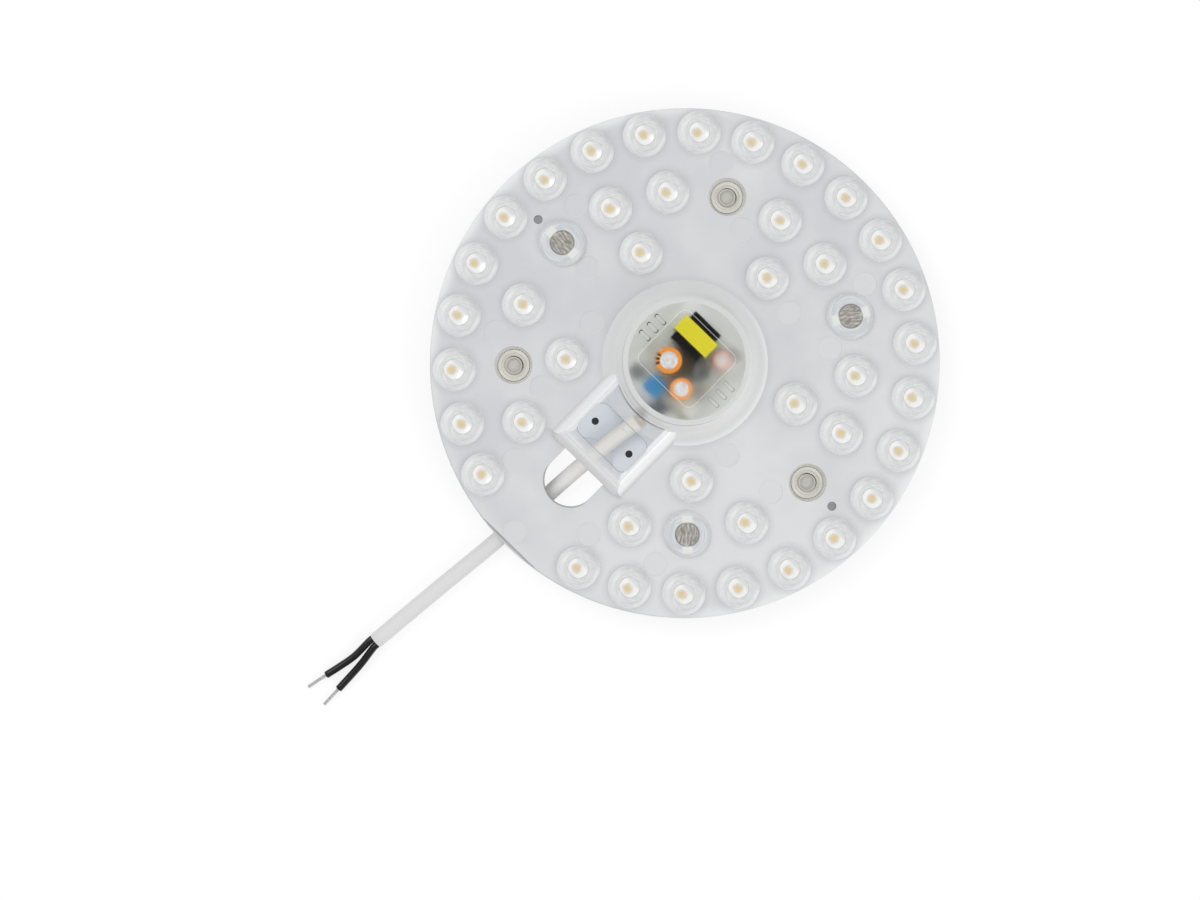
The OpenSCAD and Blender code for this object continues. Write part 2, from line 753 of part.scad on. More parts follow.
module transformer_winding() color([0.75, 0.5, 0.2]) translate([transformer_at.x, transformer_at.y, 0]) {
    low = core_z + core_bar + bobbin_wall;
    high = core_top_z - core_bar - bobbin_wall;
    translate([0, 0, low]) linear_extrude(high - low) difference() {
        rounded_rectangle(bobbin_d - 0.6, bobbin_l - 0.4, 1.5);
        square([core_depth + 2 * bobbin_wall, limb_l + 2 * bobbin_wall], center = true);
    }
}

module transformer_tape() color([0.95, 0.88, 0.2]) translate([transformer_at.x, transformer_at.y, core_z]) {
    height = core_top_z - core_z;
    rotate([90, 0, 90]) linear_extrude(tape_w, center = true) difference() {
        translate([-core_l / 2 - tape_t, -tape_t]) square([core_l + 2 * tape_t, height + 2 * tape_t]);
        translate([-core_l / 2, 0]) square([core_l, height]);
    }
}

// A standing can with a crimped neck and a sleeve that laps over its top
module can(d, h) {
    r = d / 2;
    lap = 0.32 * r;
    round = 0.5;
    groove_z = 1.6;
    rotate_extrude() polygon(concat(
        [[0, 0], [r - round, 0], [r, round], [r, groove_z]],
        bend([r, groove_z], [r - 0.7, groove_z + 0.5], [r, groove_z + 1], 4),
        bend([r, h - round], [r, h], [r - round, h], 3),
        [[r - lap, h], [r - lap - 0.1, h - 0.25], [0, h - 0.25]]
    ));
}

// Places and sizes of the driver's smaller parts
bulk_at = [-4, 4.6];
output_at = [-8.1, -5.4];
filter_at = [9.2, -8.4];
filter_d = 6.3;
filter_h = 9.5;
input_at = [-13.6, 1.8];
choke_at = [1.3, -6.3];
bridge_at = [-14.3, 10.4];
chip_at = [14.7, -11.2];
diode_at = [-3.6, -12.4];
fuse_at = [-14.8, -8];
module on_driver(at) translate([at.x, at.y, mount_z]) children();
module bulk_capacitor() color([0.95, 0.55, 0.1]) on_driver(bulk_at) can(bulk_d, bulk_h);
module output_capacitor() color([0.95, 0.6, 0.25]) on_driver(output_at) can(output_d, output_h);
module filter_capacitor() color([0.93, 0.75, 0.7]) on_driver(filter_at) can(filter_d, filter_h);

// A dipped film capacitor: a rounded block
module input_capacitor() color([0.15, 0.5, 0.8]) on_driver(input_at) {
    length = 6.6;
    width = 7.2;
    height = 9;
    round = 1.6;
    intersection() {
        linear_extrude(height) rounded_rectangle(length, width, round);
        translate([length, 0, height / 2]) rotate([0, -90, 0]) linear_extrude(2 * length)
            rounded_rectangle(height, width, round);
    }
}

// A drum core with its winding in a shrink sleeve
module drum_choke() color([0.2, 0.2, 0.21]) on_driver(choke_at) {
    r = 3.2;
    h = 9;
    waist = 0.35;
    rotate_extrude() polygon(concat(
        [[0, 0], [r, 0], [r, 1.2]],
        bend([r - waist, 1.8], [r - 2 * waist, h / 2], [r - waist, h - 1.8], 4),
        [[r, h - 1.2], [r, h - 0.3], [r - 0.3, h], [1.2, h], [1.2, h - 0.6], [0, h - 0.6]]
    ));
}

// A small moulded chip body with gull-wing leads on two sides
module chip(l, w, h, leads) {
    pitch = l / leads;
    lead_w = 0.35 * pitch;
    lead_l = 0.8;
    foot = 0.15;
    translate([-l / 2, -w / 2, foot]) cube([l, w, h - foot]);
    for (side = [0, 180], i = [0:leads - 1]) rotate(side)
        translate([(i + 0.5) * pitch - l / 2 - lead_w / 2, w / 2 - seat, 0])
            rotate([90, 0, 90]) linear_extrude(lead_w) polygon([
                [0, h / 2], [0.4, h / 2], [0.4, 0], [lead_l, 0],
                [lead_l, foot], [0.55, foot], [0.55, h / 2 + foot], [0, h / 2 + foot]
            ]);
}

module bridge_rectifier() color([0.1, 0.1, 0.1]) on_driver(bridge_at) chip(4.7, 3.9, 2.5, 2);
module control_chip() color([0.1, 0.1, 0.1]) on_driver(chip_at) rotate(90) chip(4.9, 2.4, 1.5, 4);
module output_diode() color([0.12, 0.12, 0.12]) on_driver(diode_at) rotate(90) chip(2.6, 4.3, 2.2, 1);

// A fusible resistor lying on the board, with its body waisted between the end caps
module fuse_resistor() color([0.55, 0.6, 0.5]) {
    r = 1.6;
    l = 6.6;
    cap_l = 1.4;
    on_driver(fuse_at) translate([0, 0, r]) rotate([90, 0, 0]) rotate_extrude() polygon([
        [0, 0], [r - 0.3, 0], [r, 0.3], [r, cap_l], [r - 0.25, cap_l + 0.4],
        [r - 0.25, l - cap_l - 0.4], [r, l - cap_l], [r, l - 0.3], [r - 0.3, l], [0, l]
    ]);
}

// The cores stand side by side in the sheath
core_half_gap = core_d / 2 + 0.05;
sheath_last = len(sheath_route) - 1;
sheath_sides = 10;
core_sides = 8;

// A core's first points: straight on from the sheath's end face
function core_start(i, side, lead) =
    let (p = sheath_route[i] + side * core_half_gap * aside(sheath_route, i))
    [p, p + lead * along(sheath_route, i)];

core_a_route = concat(core_start(sheath_last, -1, core_lead), core_a_bends);
core_b_route = concat(core_start(sheath_last, 1, core_lead), core_b_bends);

// An inner core's route: out of the sheath, up over the driver board's edge and down to its pad
function inner_route(side, pad) = concat(
    core_start(0, side, -inner_lead),
    [[pad.x - 2, pad.y, mount_z + core_d / 2], [pad.x, pad.y, mount_z + core_d / 2]]
);

module cable_sheath() color([0.93, 0.93, 0.91]) cord(sheath_route, sheath_d, sheath_sides);
module outer_core_a() color([0.08, 0.08, 0.08]) cord(core_a_route, core_d, core_sides);
module outer_core_b() color([0.08, 0.08, 0.08]) cord(core_b_route, core_d, core_sides);
module inner_core_a() color([0.08, 0.08, 0.08]) cord(inner_route(1, pad_a), core_d, core_sides);
module inner_core_b() color([0.08, 0.08, 0.08]) cord(inner_route(-1, pad_b), core_d, core_sides);

// A tinned end goes straight on from its core's last face
module tinned_tip(route, tip_end) {
    last = len(route) - 1;
    start = route[last];
    cord([start, start + core_lead * along(route, last), tip_end], tip_d, core_sides);
}
module tinned_tip_a() color([0.75, 0.75, 0.76]) tinned_tip(core_a_route, tip_a_end);
module tinned_tip_b() color([0.75, 0.75, 0.76]) tinned_tip(core_b_route, tip_b_end);

lens_cover();
led_board();
leds_outer_ring();
leds_middle_ring();
leds_inner_ring();
magnet_pot_1();
magnet_pot_2();
magnet_pot_3();
magnet_1();
magnet_2();
magnet_3();
cup_washer_1();
cup_washer_2();
cup_washer_3();
driver_board();
header_blocks();
header_pins();
transformer_core();
transformer_bobbin();
transformer_winding();
transformer_tape();
bulk_capacitor();
output_capacitor();
filter_capacitor();
input_capacitor();
drum_choke();
bridge_rectifier();
control_chip();
output_diode();
fuse_resistor();
inner_core_a();
inner_core_b();
cable_sheath();
outer_core_a();
outer_core_b();
tinned_tip_a();
tinned_tip_b();
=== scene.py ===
# %% [markdown]
# # Magnetic LED module
#
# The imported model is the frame: every piece here is set out from its boxes. The scene adds what the
# solids don't carry: the frosting of the lens cover and the bright eyes of its lenses, the hazy window
# over the driver, the sleeves and tapes of the driver's parts, a smooth cable with twisted ends, and a
# white studio.

# %% Load the frame
import math

import bmesh
import bpy
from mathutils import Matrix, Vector


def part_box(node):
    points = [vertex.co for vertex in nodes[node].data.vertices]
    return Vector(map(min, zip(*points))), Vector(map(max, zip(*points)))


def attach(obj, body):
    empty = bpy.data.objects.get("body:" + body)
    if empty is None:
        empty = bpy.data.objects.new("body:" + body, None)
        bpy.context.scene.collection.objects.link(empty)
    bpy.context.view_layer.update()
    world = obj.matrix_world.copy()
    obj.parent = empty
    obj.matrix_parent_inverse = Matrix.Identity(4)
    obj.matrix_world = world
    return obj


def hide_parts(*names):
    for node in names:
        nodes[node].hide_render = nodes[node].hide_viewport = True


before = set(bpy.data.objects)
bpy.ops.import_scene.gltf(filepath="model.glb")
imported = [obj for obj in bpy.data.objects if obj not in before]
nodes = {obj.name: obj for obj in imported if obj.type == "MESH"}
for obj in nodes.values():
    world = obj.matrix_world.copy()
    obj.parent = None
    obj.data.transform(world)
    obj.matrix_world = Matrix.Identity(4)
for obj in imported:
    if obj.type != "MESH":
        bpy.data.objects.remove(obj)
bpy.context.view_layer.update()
print("loaded", len(nodes), "nodes")

# %% [markdown]
# ## Sizes
#
# The layout's own numbers, in metres and degrees. The cover's radius and the board's top come from
# their boxes. The outer ring of lenses is measured in from the cover's edge, the other rings are shares
# of it, and the levels are counted up from the board's top.


# %% Read sizes from the frame
def box_of(name):
    """The low and the high corner of a CAD node's box."""
    return [Vector(corner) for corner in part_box(name)]


MM = 0.001
cover_r = box_of("lens_cover")[1].y
deck_z = box_of("led_board")[1].z
under_z = deck_z + 2.4 * MM
face_z = under_z + 1.6 * MM
dome_z = face_z + 18.0 * MM
window_z = dome_z - 0.2 * MM
ceiling_z = window_z - 1.6 * MM
outer_ring_r = cover_r - 9.0 * MM
middle_ring_r = 0.743 * outer_ring_r
inner_ring_r = 0.512 * outer_ring_r
screw_ring_r = outer_ring_r - 9.0 * MM
lens_r = 7.7 * MM
eye_r = 3.5 * MM
cup_r = 8.3 * MM
cup_space_r = 6.6 * MM
well_r = 6.8 * MM
pin_mark_r = 4.2 * MM
pin_mark_depth = 0.12 * MM
dome_foot_r = 29.1 * MM
dome_top_r = 22.0 * MM
window_r = 20.2 * MM
vent_y = 16.45 * MM
hood_half_w = 17.0 * MM
hood_start_r = 24.2 * MM
hood_end = 50.7 * MM
access_x = 36.6 * MM
access_half_l = 6.8 * MM
access_half_w = 11.8 * MM
access_corner = 3.0 * MM
access_end = access_x + access_half_l
slot_start = 40.0 * MM
slot_end = 66.8 * MM
slot_half_w = 9.25 * MM
slot_arc_x = slot_end - slot_half_w
print("cover radius", round(cover_r, 4), "plate at", round(face_z, 4))


# %% Places of lenses, cups, wells and marks
def mirrored(half):
    """Some angles, and the same on the other side of the X axis."""
    return half + [-a for a in half]


def on_ring(r, angles):
    """Points on a circle about the module's middle, by angles in degrees."""
    return [Vector((r * math.cos(math.radians(a)), r * math.sin(math.radians(a)), 0.0)) for a in angles]


outer_angles = [13.6 * i for i in range(-12, 13)]
middle_angles = mirrored([10.5, 50.0, 70.0, 114.5, 154.5])
inner_angles = [0.0] + mirrored([66.0, 132.5])
cup_angles = [-30.0, 90.0, -135.0]
well_angles = [30.0, -90.0, 135.0]
lens_angles = outer_angles + middle_angles + inner_angles
lens_points = (
    on_ring(outer_ring_r, outer_angles)
    + on_ring(middle_ring_r, middle_angles)
    + on_ring(inner_ring_r, inner_angles)
)
cup_points = on_ring(middle_ring_r, cup_angles)
well_points = on_ring(middle_ring_r, well_angles)
screw_points = on_ring(screw_ring_r, [90.0, -90.0])
pin_marks = [
    (0.83, 125.0), (0.63, 144.0), (0.85, 164.0), (0.44, 111.0), (1.04, 179.0), (0.85, -165.0),
    (0.88, -144.0), (0.83, 79.0), (0.59, 90.0), (0.88, 34.0), (0.63, 21.0), (0.85, -22.0),
    (0.5, -20.0), (0.63, -40.0), (0.44, -111.0), (0.67, -102.0),
]
pin_points = [on_ring(share * outer_ring_r, [angle])[0] for share, angle in pin_marks]
print("lenses:", len(lens_points), "snap cups:", len(cup_points), "pin marks:", len(pin_points))

# %% [markdown]
# ## Camera
#
# The photograph looks straight down from about 0.8 m. Its middle is above the cable slot, and the
# layout's axis runs from lower left to upper right.

# %% Set up the camera
camera_x = -42.7 * MM
camera_height = 0.8
camera_turn = math.radians(-45.7)
camera_data = bpy.data.cameras.new("camera")
camera_data.sensor_width = 36.0
camera_data.lens = 68.4
camera = bpy.data.objects.new("camera", camera_data)
camera.location = (camera_x, 0.0, face_z + camera_height)
camera.rotation_euler = (0.0, 0.0, camera_turn)
bpy.context.scene.collection.objects.link(camera)
bpy.context.scene.camera = camera
bpy.context.scene.view_settings.view_transform = "Standard"
print("camera at", tuple(round(c, 4) for c in camera.location))

# %% [markdown]
# ## Helpers for node trees
#
# A material is a tree of small nodes. These helpers keep such trees readable: `node` adds a node and
# sets its inputs, where a value that is a socket is linked. `ramp` and `band` make masks from 0 to 1,
# and `blend` lays one colour over another through such masks. Colours are written as they read on
# screen, from 0 to 255.


# %% Nodes and numbers
def give(tree, socket, value):
    """Links a socket to a value that is a socket, or sets it."""
    if isinstance(value, bpy.types.NodeSocket):
        tree.links.new(value, socket)
    else:
        socket.default_value = value


def node(tree, kind, inputs=None, **settings):
    made = tree.nodes.new(kind)
    for name, value in settings.items():
        setattr(made, name, value)
    for name, value in (inputs or {}).items():
        give(tree, made.inputs[name], value)
    return made


def math_node(tree, operation, a, b=0.0, c=0.0):
    return node(tree, "ShaderNodeMath", {0: a, 1: b, 2: c}, operation=operation).outputs[0]


def product(tree, *values):
    """Masks, shares and lengths multiplied together."""
    made = values[0]
    for value in values[1:]:
        made = math_node(tree, "MULTIPLY", made, value)
    return made


def gap(tree, value, middle=0.0):
    """How far a value is from another, either way."""
    return math_node(tree, "ABSOLUTE", math_node(tree, "SUBTRACT", value, middle))


# %% Places and directions
def vector_node(tree, operation, a, b=(0.0, 0.0, 0.0), c=(0.0, 0.0, 0.0)):
    return node(tree, "ShaderNodeVectorMath", {0: a, 1: b, 2: c}, operation=operation).outputs[0]


def length_of(tree, vector):
    return node(tree, "ShaderNodeVectorMath", {0: vector}, operation="LENGTH").outputs["Value"]


def split(tree, vector):
    """The X, Y and Z of a vector."""
    return node(tree, "ShaderNodeSeparateXYZ", {"Vector": vector}).outputs


def joined(tree, x=0.0, y=0.0, z=0.0):
    return node(tree, "ShaderNodeCombineXYZ", {"X": x, "Y": y, "Z": z}).outputs[0]


def object_place(tree):
    return node(tree, "ShaderNodeTexCoord").outputs["Object"]


def facing(tree):
    """The X, Y and Z of the way that a surface faces."""
    return split(tree, node(tree, "ShaderNodeTexCoord").outputs["Normal"])


def from_axis(tree, place):
    """How far a place is from the Z axis."""
    return length_of(tree, vector_node(tree, "MULTIPLY", place, (1.0, 1.0, 0.0)))


# %% Masks and colours
def ramp(tree, value, low, high):
    """0 at low and 1 at high, with a smooth step between; low may be the larger."""
    made = node(tree, "ShaderNodeMapRange", {"Value": value, "From Min": low, "From Max": high})
    made.interpolation_type = "SMOOTHSTEP"
    return made.outputs["Result"]


def band(tree, value, low, high, soft):
    """1 between low and high, falling to 0 over a soft width on both sides."""
    rise = ramp(tree, value, low - soft, low)
    fall = ramp(tree, value, high, high + soft)
    return math_node(tree, "SUBTRACT", rise, fall)


def blend(tree, under, over, *masks):
    """One colour laid over another, as far as all the masks and shares let it."""
    made = node(tree, "ShaderNodeMix", data_type="RGBA")
    give(tree, made.inputs[0], product(tree, *masks))
    give(tree, made.inputs[6], under)
    give(tree, made.inputs[7], over)
    return made.outputs[2]


def rgb(red, green, blue):
    """A colour as it reads on screen, from 0 to 255, in the linear values that shaders take."""
    linear = []
    for value in (red, green, blue):
        share = value / 255.0
        linear.append(share / 12.92 if share <= 0.04045 else ((share + 0.055) / 1.055) ** 2.4)
    return (*linear, 1.0)


def noise(tree, place, scale, detail=4.0, output="Fac"):
    """Soft clouds about 0.5; a larger scale makes them finer."""
    made = node(tree, "ShaderNodeTexNoise", {"Vector": place, "Scale": scale, "Detail": detail})
    return made.outputs[output]


# %% Groups and materials
def new_group(name, kind, inputs, outputs):
    """A node group with named sockets; an input has a type and a default value, or None."""
    group = bpy.data.node_groups.new(name, kind + "NodeTree")
    for socket_name, socket_type, default in inputs:
        socket = group.interface.new_socket(
            socket_name, in_out="INPUT", socket_type="NodeSocket" + socket_type)
        if default is not None:
            socket.default_value = default
    for socket_name, socket_type in outputs:
        group.interface.new_socket(socket_name, in_out="OUTPUT", socket_type="NodeSocket" + socket_type)
    print("group:", name)
    return group, node(group, "NodeGroupInput").outputs, node(group, "NodeGroupOutput").inputs


def new_material(name):
    made = bpy.data.materials.new(name)
    made.use_nodes = True
    print("material:", name)
    return made, made.node_tree, made.node_tree.nodes["Principled BSDF"]


def set_values(shader, values):
    for name, value in values.items():
        shader.inputs[name].default_value = value


# %% [markdown]
# ## Speckle
#
# No real surface has one flat colour. Mouldings, sleeves and plated metal all vary a little in tone and
# gloss over a fraction of a millimetre. One shader group gives any material this fine unevenness, so
# that each only says how strong and how fine it is.

# %% Speckle: fine unevenness for any surface
speckle, given, result = new_group(
    "Speckle", "Shader",
    [
        ("Color", "Color", None), ("Amount", "Float", 0.05),
        ("Scale", "Float", 900.0), ("Roughness", "Float", 0.4),
    ],
    [("Color", "Color"), ("Roughness", "Float"), ("Height", "Float")],
)
grain = noise(speckle, object_place(speckle), given["Scale"])
swing = product(speckle, math_node(speckle, "SUBTRACT", grain, 0.5), given["Amount"])
gain = math_node(speckle, "ADD", swing, 1.0)
give(speckle, result["Color"], vector_node(speckle, "MULTIPLY", given["Color"], gain))
give(speckle, result["Roughness"], math_node(speckle, "ADD", given["Roughness"], swing))
give(speckle, result["Height"], grain)


# %% Materials with speckle
def finish_surface(tree, shader, colour, roughness, amount=0.05, scale=900.0, bump=0.0):
    """Feeds the shader from the Speckle group."""
    group = node(tree, "ShaderNodeGroup", {
        "Color": colour, "Amount": amount, "Scale": scale, "Roughness": roughness}, node_tree=speckle)
    tree.links.new(group.outputs["Color"], shader.inputs["Base Color"])
    tree.links.new(group.outputs["Roughness"], shader.inputs["Roughness"])
    if bump:
        lift = node(tree, "ShaderNodeBump", {"Height": group.outputs["Height"], "Distance": bump})
        tree.links.new(lift.outputs["Normal"], shader.inputs["Normal"])


def finish_frost(tree, shader, colour, roughness=0.45):
    """The fine matt skin of frosted plastic."""
    finish_surface(tree, shader, colour, roughness, amount=0.03, scale=600.0, bump=0.01 * MM)


def plain(name, colour, roughness, amount=0.05, scale=900.0, values=None):
    """A speckled material of one colour, with other constants of the shader by name."""
    made, tree, shader = new_material(name)
    finish_surface(tree, shader, colour, roughness, amount, scale)
    set_values(shader, values or {})
    return made


# %% [markdown]
# ## Frosting
#
# The cover is clear plastic with a matt skin: grey and a little cloudy where it lies flat. On slopes and
# edges, where the way through the plastic is longer, another grey is painted: painted shade on the plate
# and in the wells, painted light on the dome. Light that enters a dome on the lamp's side comes out on the
# far side, at -Y, so that side gets a painted grey of its own, paler on the dome and the wells. Tracing
# light through such plastic is slow and noisy, so one group paints these greys by slope and side. The
# clouds can drift to the cooler grey towards +Y.

# %% Frosting: matt clear plastic
frosting, given, result = new_group(
    "Frosting", "Shader",
    [
        ("Warm", "Color", None), ("Cool", "Color", None),
        ("Edge", "Color", None), ("Far Edge", "Color", None),
        ("Slope Start", "Float", 0.1), ("Slope End", "Float", 0.8),
        ("Cloud Scale", "Float", 45.0), ("Drift", "Float", 0.0),
    ],
    [("Color", "Color")],
)
ways = facing(frosting)
slope = math_node(frosting, "SUBTRACT", 1.0, gap(frosting, ways["Z"]))
span = node(frosting, "ShaderNodeMapRange", {
    "Value": slope, "From Min": given["Slope Start"], "From Max": given["Slope End"]})
place = object_place(frosting)
cloud = noise(frosting, place, given["Cloud Scale"], 2.0)
cloud = math_node(frosting, "MULTIPLY_ADD", split(frosting, place)["Y"], given["Drift"], cloud)
flat_colour = blend(frosting, given["Warm"], given["Cool"], ramp(frosting, cloud, 0.2, 0.8))
# painted light and shade: a grey for slopes, and another for slopes that face -Y, away from the lamp
painted_slope_colour = blend(frosting, given["Edge"], given["Far Edge"], ramp(frosting, ways["Y"], 0.5, -0.5))
give(frosting, result["Color"], blend(frosting, flat_colour, painted_slope_colour, span.outputs["Result"]))

# %% [markdown]
# ## Painted light and shade on the plate and the dome
#
# Light gathers and fails at every edge of a clear moulding, and here that light and shade are painted.
# The plate has a painted soft shade round each lens and round the dome, a paler band of painted light over
# the skirt, brightest towards the lamps, with a thin dark line of painted shade outside it, and painted
# shade on the cut edges at the slot and at the flat over the cable. The dome has a painted highlight on
# its far foot, a fine line of painted shade at its top, and a dark smudge of painted shade where the cores
# go in. All are masks of place and slope, so they stay with the shape in every view.


# %% Masks for the plate
lens_shade_w = 2.8 * MM


def shade_beside_lenses(tree, place):
    """Where shade is painted: 1 at the foot of a lens or of the dome, falling to 0 a few millimetres away. Y
    mirrors the layout.
    """
    xyz = split(tree, place)
    folded = joined(tree, xyz["X"], gap(tree, xyz["Y"]))
    away = math_node(tree, "SUBTRACT", length_of(tree, folded), dome_foot_r)
    for point in lens_points:
        if point.y > -0.1 * MM:
            from_lens = length_of(tree, vector_node(tree, "SUBTRACT", folded, tuple(point)))
            away = math_node(tree, "MINIMUM", away, math_node(tree, "SUBTRACT", from_lens, lens_r))
    return ramp(tree, away, lens_shade_w, 0.0)


def cut_edge_shade(tree, place):
    """Where shade is painted: 1 along the far end of the cable slot and on the sloped flat of the rim over
    the cable.
    """
    from_end = from_axis(tree, vector_node(tree, "ADD", place, (slot_arc_x, 0.0, 0.0)))
    slot_shade_line = ramp(tree, from_end, slot_half_w + 0.6 * MM, slot_half_w + 0.25 * MM)
    far_end = ramp(tree, split(tree, place)["X"], -slot_arc_x - 0.45 * MM, -slot_arc_x - 4.45 * MM)
    ways = facing(tree)
    flat_shade = product(tree, band(tree, ways["Z"], 0.24, 0.36, 0.05), ramp(tree, ways["X"], -0.85, -0.93))
    return math_node(tree, "MAXIMUM", product(tree, slot_shade_line, far_end), flat_shade)


# %% The painted light and shade themselves
cores_entry = (-23.8 * MM, -1.2 * MM, 0.0)


def plate_light_and_shade(tree, colour, rim):
    """Painted light in a band over the skirt, and painted shade in the outline, at the lenses and on the cut
    edges, over a colour.
    """
    place = object_place(tree)
    xyz = split(tree, place)
    from_middle = from_axis(tree, place)
    lamp_ends = ramp(tree, gap(tree, xyz["Y"]), 0.45 * rim, 0.9 * rim)
    # painted light: the skirt's band is paler, most towards the lamps at either end
    skirt_light = blend(tree, rgb(219, 220, 221), rgb(234, 235, 235), lamp_ends)
    colour = blend(tree, colour, skirt_light, ramp(tree, from_middle, rim - 5.0 * MM, rim - 0.6 * MM))
    # painted shade: a thin dark line at the rim's outer edge, away from the lamps
    rim_shade_line = ramp(tree, from_middle, rim - 0.8 * MM, rim - 0.45 * MM)
    at_top = ramp(tree, xyz["Z"], face_z - 0.9 * MM, face_z - 0.4 * MM)
    off_lamps = math_node(tree, "SUBTRACT", 1.0, lamp_ends)
    colour = blend(tree, colour, rgb(186, 187, 188), rim_shade_line, off_lamps, at_top)
    # painted shade round each lens and round the dome
    colour = blend(tree, colour, rgb(187, 189, 193), shade_beside_lenses(tree, place), 0.32)
    # painted shade on the cut edges at the slot and the flat
    return blend(tree, colour, rgb(166, 167, 166), cut_edge_shade(tree, place))


def dome_light_and_shade(tree, colour, foot):
    """Painted light on the far foot, and painted shade in the line at the top and the smudge at the cores,
    over a colour.
    """
    place = object_place(tree)
    xyz = split(tree, place)
    from_middle = from_axis(tree, place)
    at_foot = ramp(tree, from_middle, foot - 2.4 * MM, foot - 0.2 * MM)
    far_side = ramp(tree, xyz["Y"], 8.0 * MM, -14.0 * MM)
    # painted highlight on the foot, on the far side from the lamp
    colour = blend(tree, colour, rgb(230, 231, 231), at_foot, far_side)
    top_shade_line = band(tree, from_middle, dome_top_r + 0.1 * MM, dome_top_r + 0.3 * MM, 0.2 * MM)
    hood_side = ramp(tree, xyz["X"], 2.0 * MM, -14.0 * MM)
    # painted shade in a fine line at the top, on the hood's side
    colour = blend(tree, colour, rgb(192, 193, 194), top_shade_line, hood_side, 0.7)
    from_cores = from_axis(tree, vector_node(tree, "SUBTRACT", place, cores_entry))
    # painted shade where the cores go in
    return blend(tree, colour, rgb(168, 164, 167), ramp(tree, from_cores, 3.4 * MM, 0.6 * MM), 0.6)


# %% Frosted materials
def frosted(name, warm, cool, edge, far_side_shading, slope_start=0.1, slope_end=0.8, drift=0.0, rim=None, foot=None):
    """Matt clear plastic with its own greys, with the plate's painted light and shade in a rim or the dome's
    in a foot.
    """
    made, tree, shader = new_material(name)
    group = node(tree, "ShaderNodeGroup", {
        "Warm": warm, "Cool": cool, "Edge": edge, "Far Edge": far_side_shading,
        "Slope Start": slope_start, "Slope End": slope_end, "Drift": drift}, node_tree=frosting)
    colour = group.outputs["Color"]
    if rim:
        colour = plate_light_and_shade(tree, colour, rim)
    if foot:
        colour = dome_light_and_shade(tree, colour, foot)
    finish_frost(tree, shader, colour)
    return made


# %% [markdown]
# ## Lens cover
#
# The cover is one moulding with several finishes. A copy of its CAD mesh is merged and cut by place
# into a piece for each finish: the plate with its skirt, the pin marks, the wells, the hood and its
# sides, the dome, the outer and inner face of its window, the vents, the bead, the lens rings, the lens
# eyes and the snap cups. Cutting along the mesh's own edges keeps every seam closed.


# %% Pieces of the module
def new_piece(name, data, *replaced):
    """An object on the module that stands in for some CAD nodes."""
    piece = bpy.data.objects.new(name, data)
    bpy.context.scene.collection.objects.link(piece)
    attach(piece, "root")
    if replaced:
        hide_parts(*replaced)
    print("piece:", name, len(data.polygons), "faces")
    return piece


def merged(name):
    """A CAD node's mesh, with its loose triangles joined."""
    mesh = bmesh.new()
    mesh.from_mesh(nodes[name].data)
    bmesh.ops.remove_doubles(mesh, verts=mesh.verts, dist=1e-6)
    return mesh


def dressed_copy(mesh, cad_name, name, material):
    """A piece from a changed mesh of a CAD node, which it replaces."""
    data = nodes[cad_name].data.copy()
    data.name = name
    mesh.to_mesh(data)
    mesh.free()
    data.materials.clear()
    data.materials.append(material)
    return new_piece(name, data, cad_name)


def paint(name, material):
    """Gives a CAD node its material."""
    nodes[name].data.materials.clear()
    nodes[name].data.materials.append(material)


# %% Finishes of lenses, cups and window
level_slack = 0.02 * MM
level = 0.99


def nearest(points, x, y):
    """The number of the nearest of some points, and its distance."""
    best = min(range(len(points)), key=lambda i: (points[i].x - x) ** 2 + (points[i].y - y) ** 2)
    return best, math.hypot(points[best].x - x, points[best].y - y)


def raised_finish(centre, faces_up):
    """The finish of a lens or cup face, or nothing elsewhere on the plate."""
    _, lens_away = nearest(lens_points, centre.x, centre.y)
    if faces_up and lens_away < eye_r:
        return "eyes"
    if eye_r < lens_away < lens_r + 0.05 * MM:
        return "rings"
    _, cup_away = nearest(cup_points, centre.x, centre.y)
    if cup_away < cup_r and (faces_up or cup_away > cup_space_r + 0.2 * MM):
        return "cups"
    return None


def window_finish_of(centre, up):
    """The finish of a face in the thickness of the dome's window."""
    if up > level and abs(centre.z - window_z) < level_slack:
        return "window"
    if up < -level and abs(centre.z - ceiling_z) < level_slack:
        return "ceiling"
    return "vents" if centre.z < window_z else "bead"


# %% Finish of any face
flat_top = 0.93
flare_turn = 0.93


def cover_finish(face):
    """The name of a face's finish, from its place and the way it faces."""
    centre = face.calc_center_median()
    r = math.hypot(centre.x, centre.y)
    up = face.normal.z
    if r < window_r and centre.z > ceiling_z - level_slack:
        return window_finish_of(centre, up)
    in_hood = centre.x < -dome_top_r and abs(centre.y) < hood_half_w + 0.1 * MM and r < hood_end + 1.0 * MM
    level_part = math.hypot(face.normal.x, face.normal.y)
    outward = centre.x * face.normal.x + centre.y * face.normal.y
    on_flare = r < dome_foot_r and level_part > 0.1 and abs(outward) > flare_turn * r * level_part
    if in_hood and not on_flare and r > hood_start_r and centre.z > under_z + 0.1 * MM:
        if centre.z < face_z + level_slack and up > 0.5:
            return "plate"
        return "hood" if abs(up) > flat_top else "hood_sides"
    if r < dome_foot_r + 0.05 * MM and centre.z > under_z + level_slack:
        return "dome"
    if up > level and abs(centre.z - face_z + pin_mark_depth) < level_slack:
        return "pins"
    if centre.z > face_z + level_slack:
        return raised_finish(centre, up > 0.05) or "plate"
    _, well_away = nearest(well_points, centre.x, centre.y)
    return "wells" if well_away < well_r and up < level else "plate"


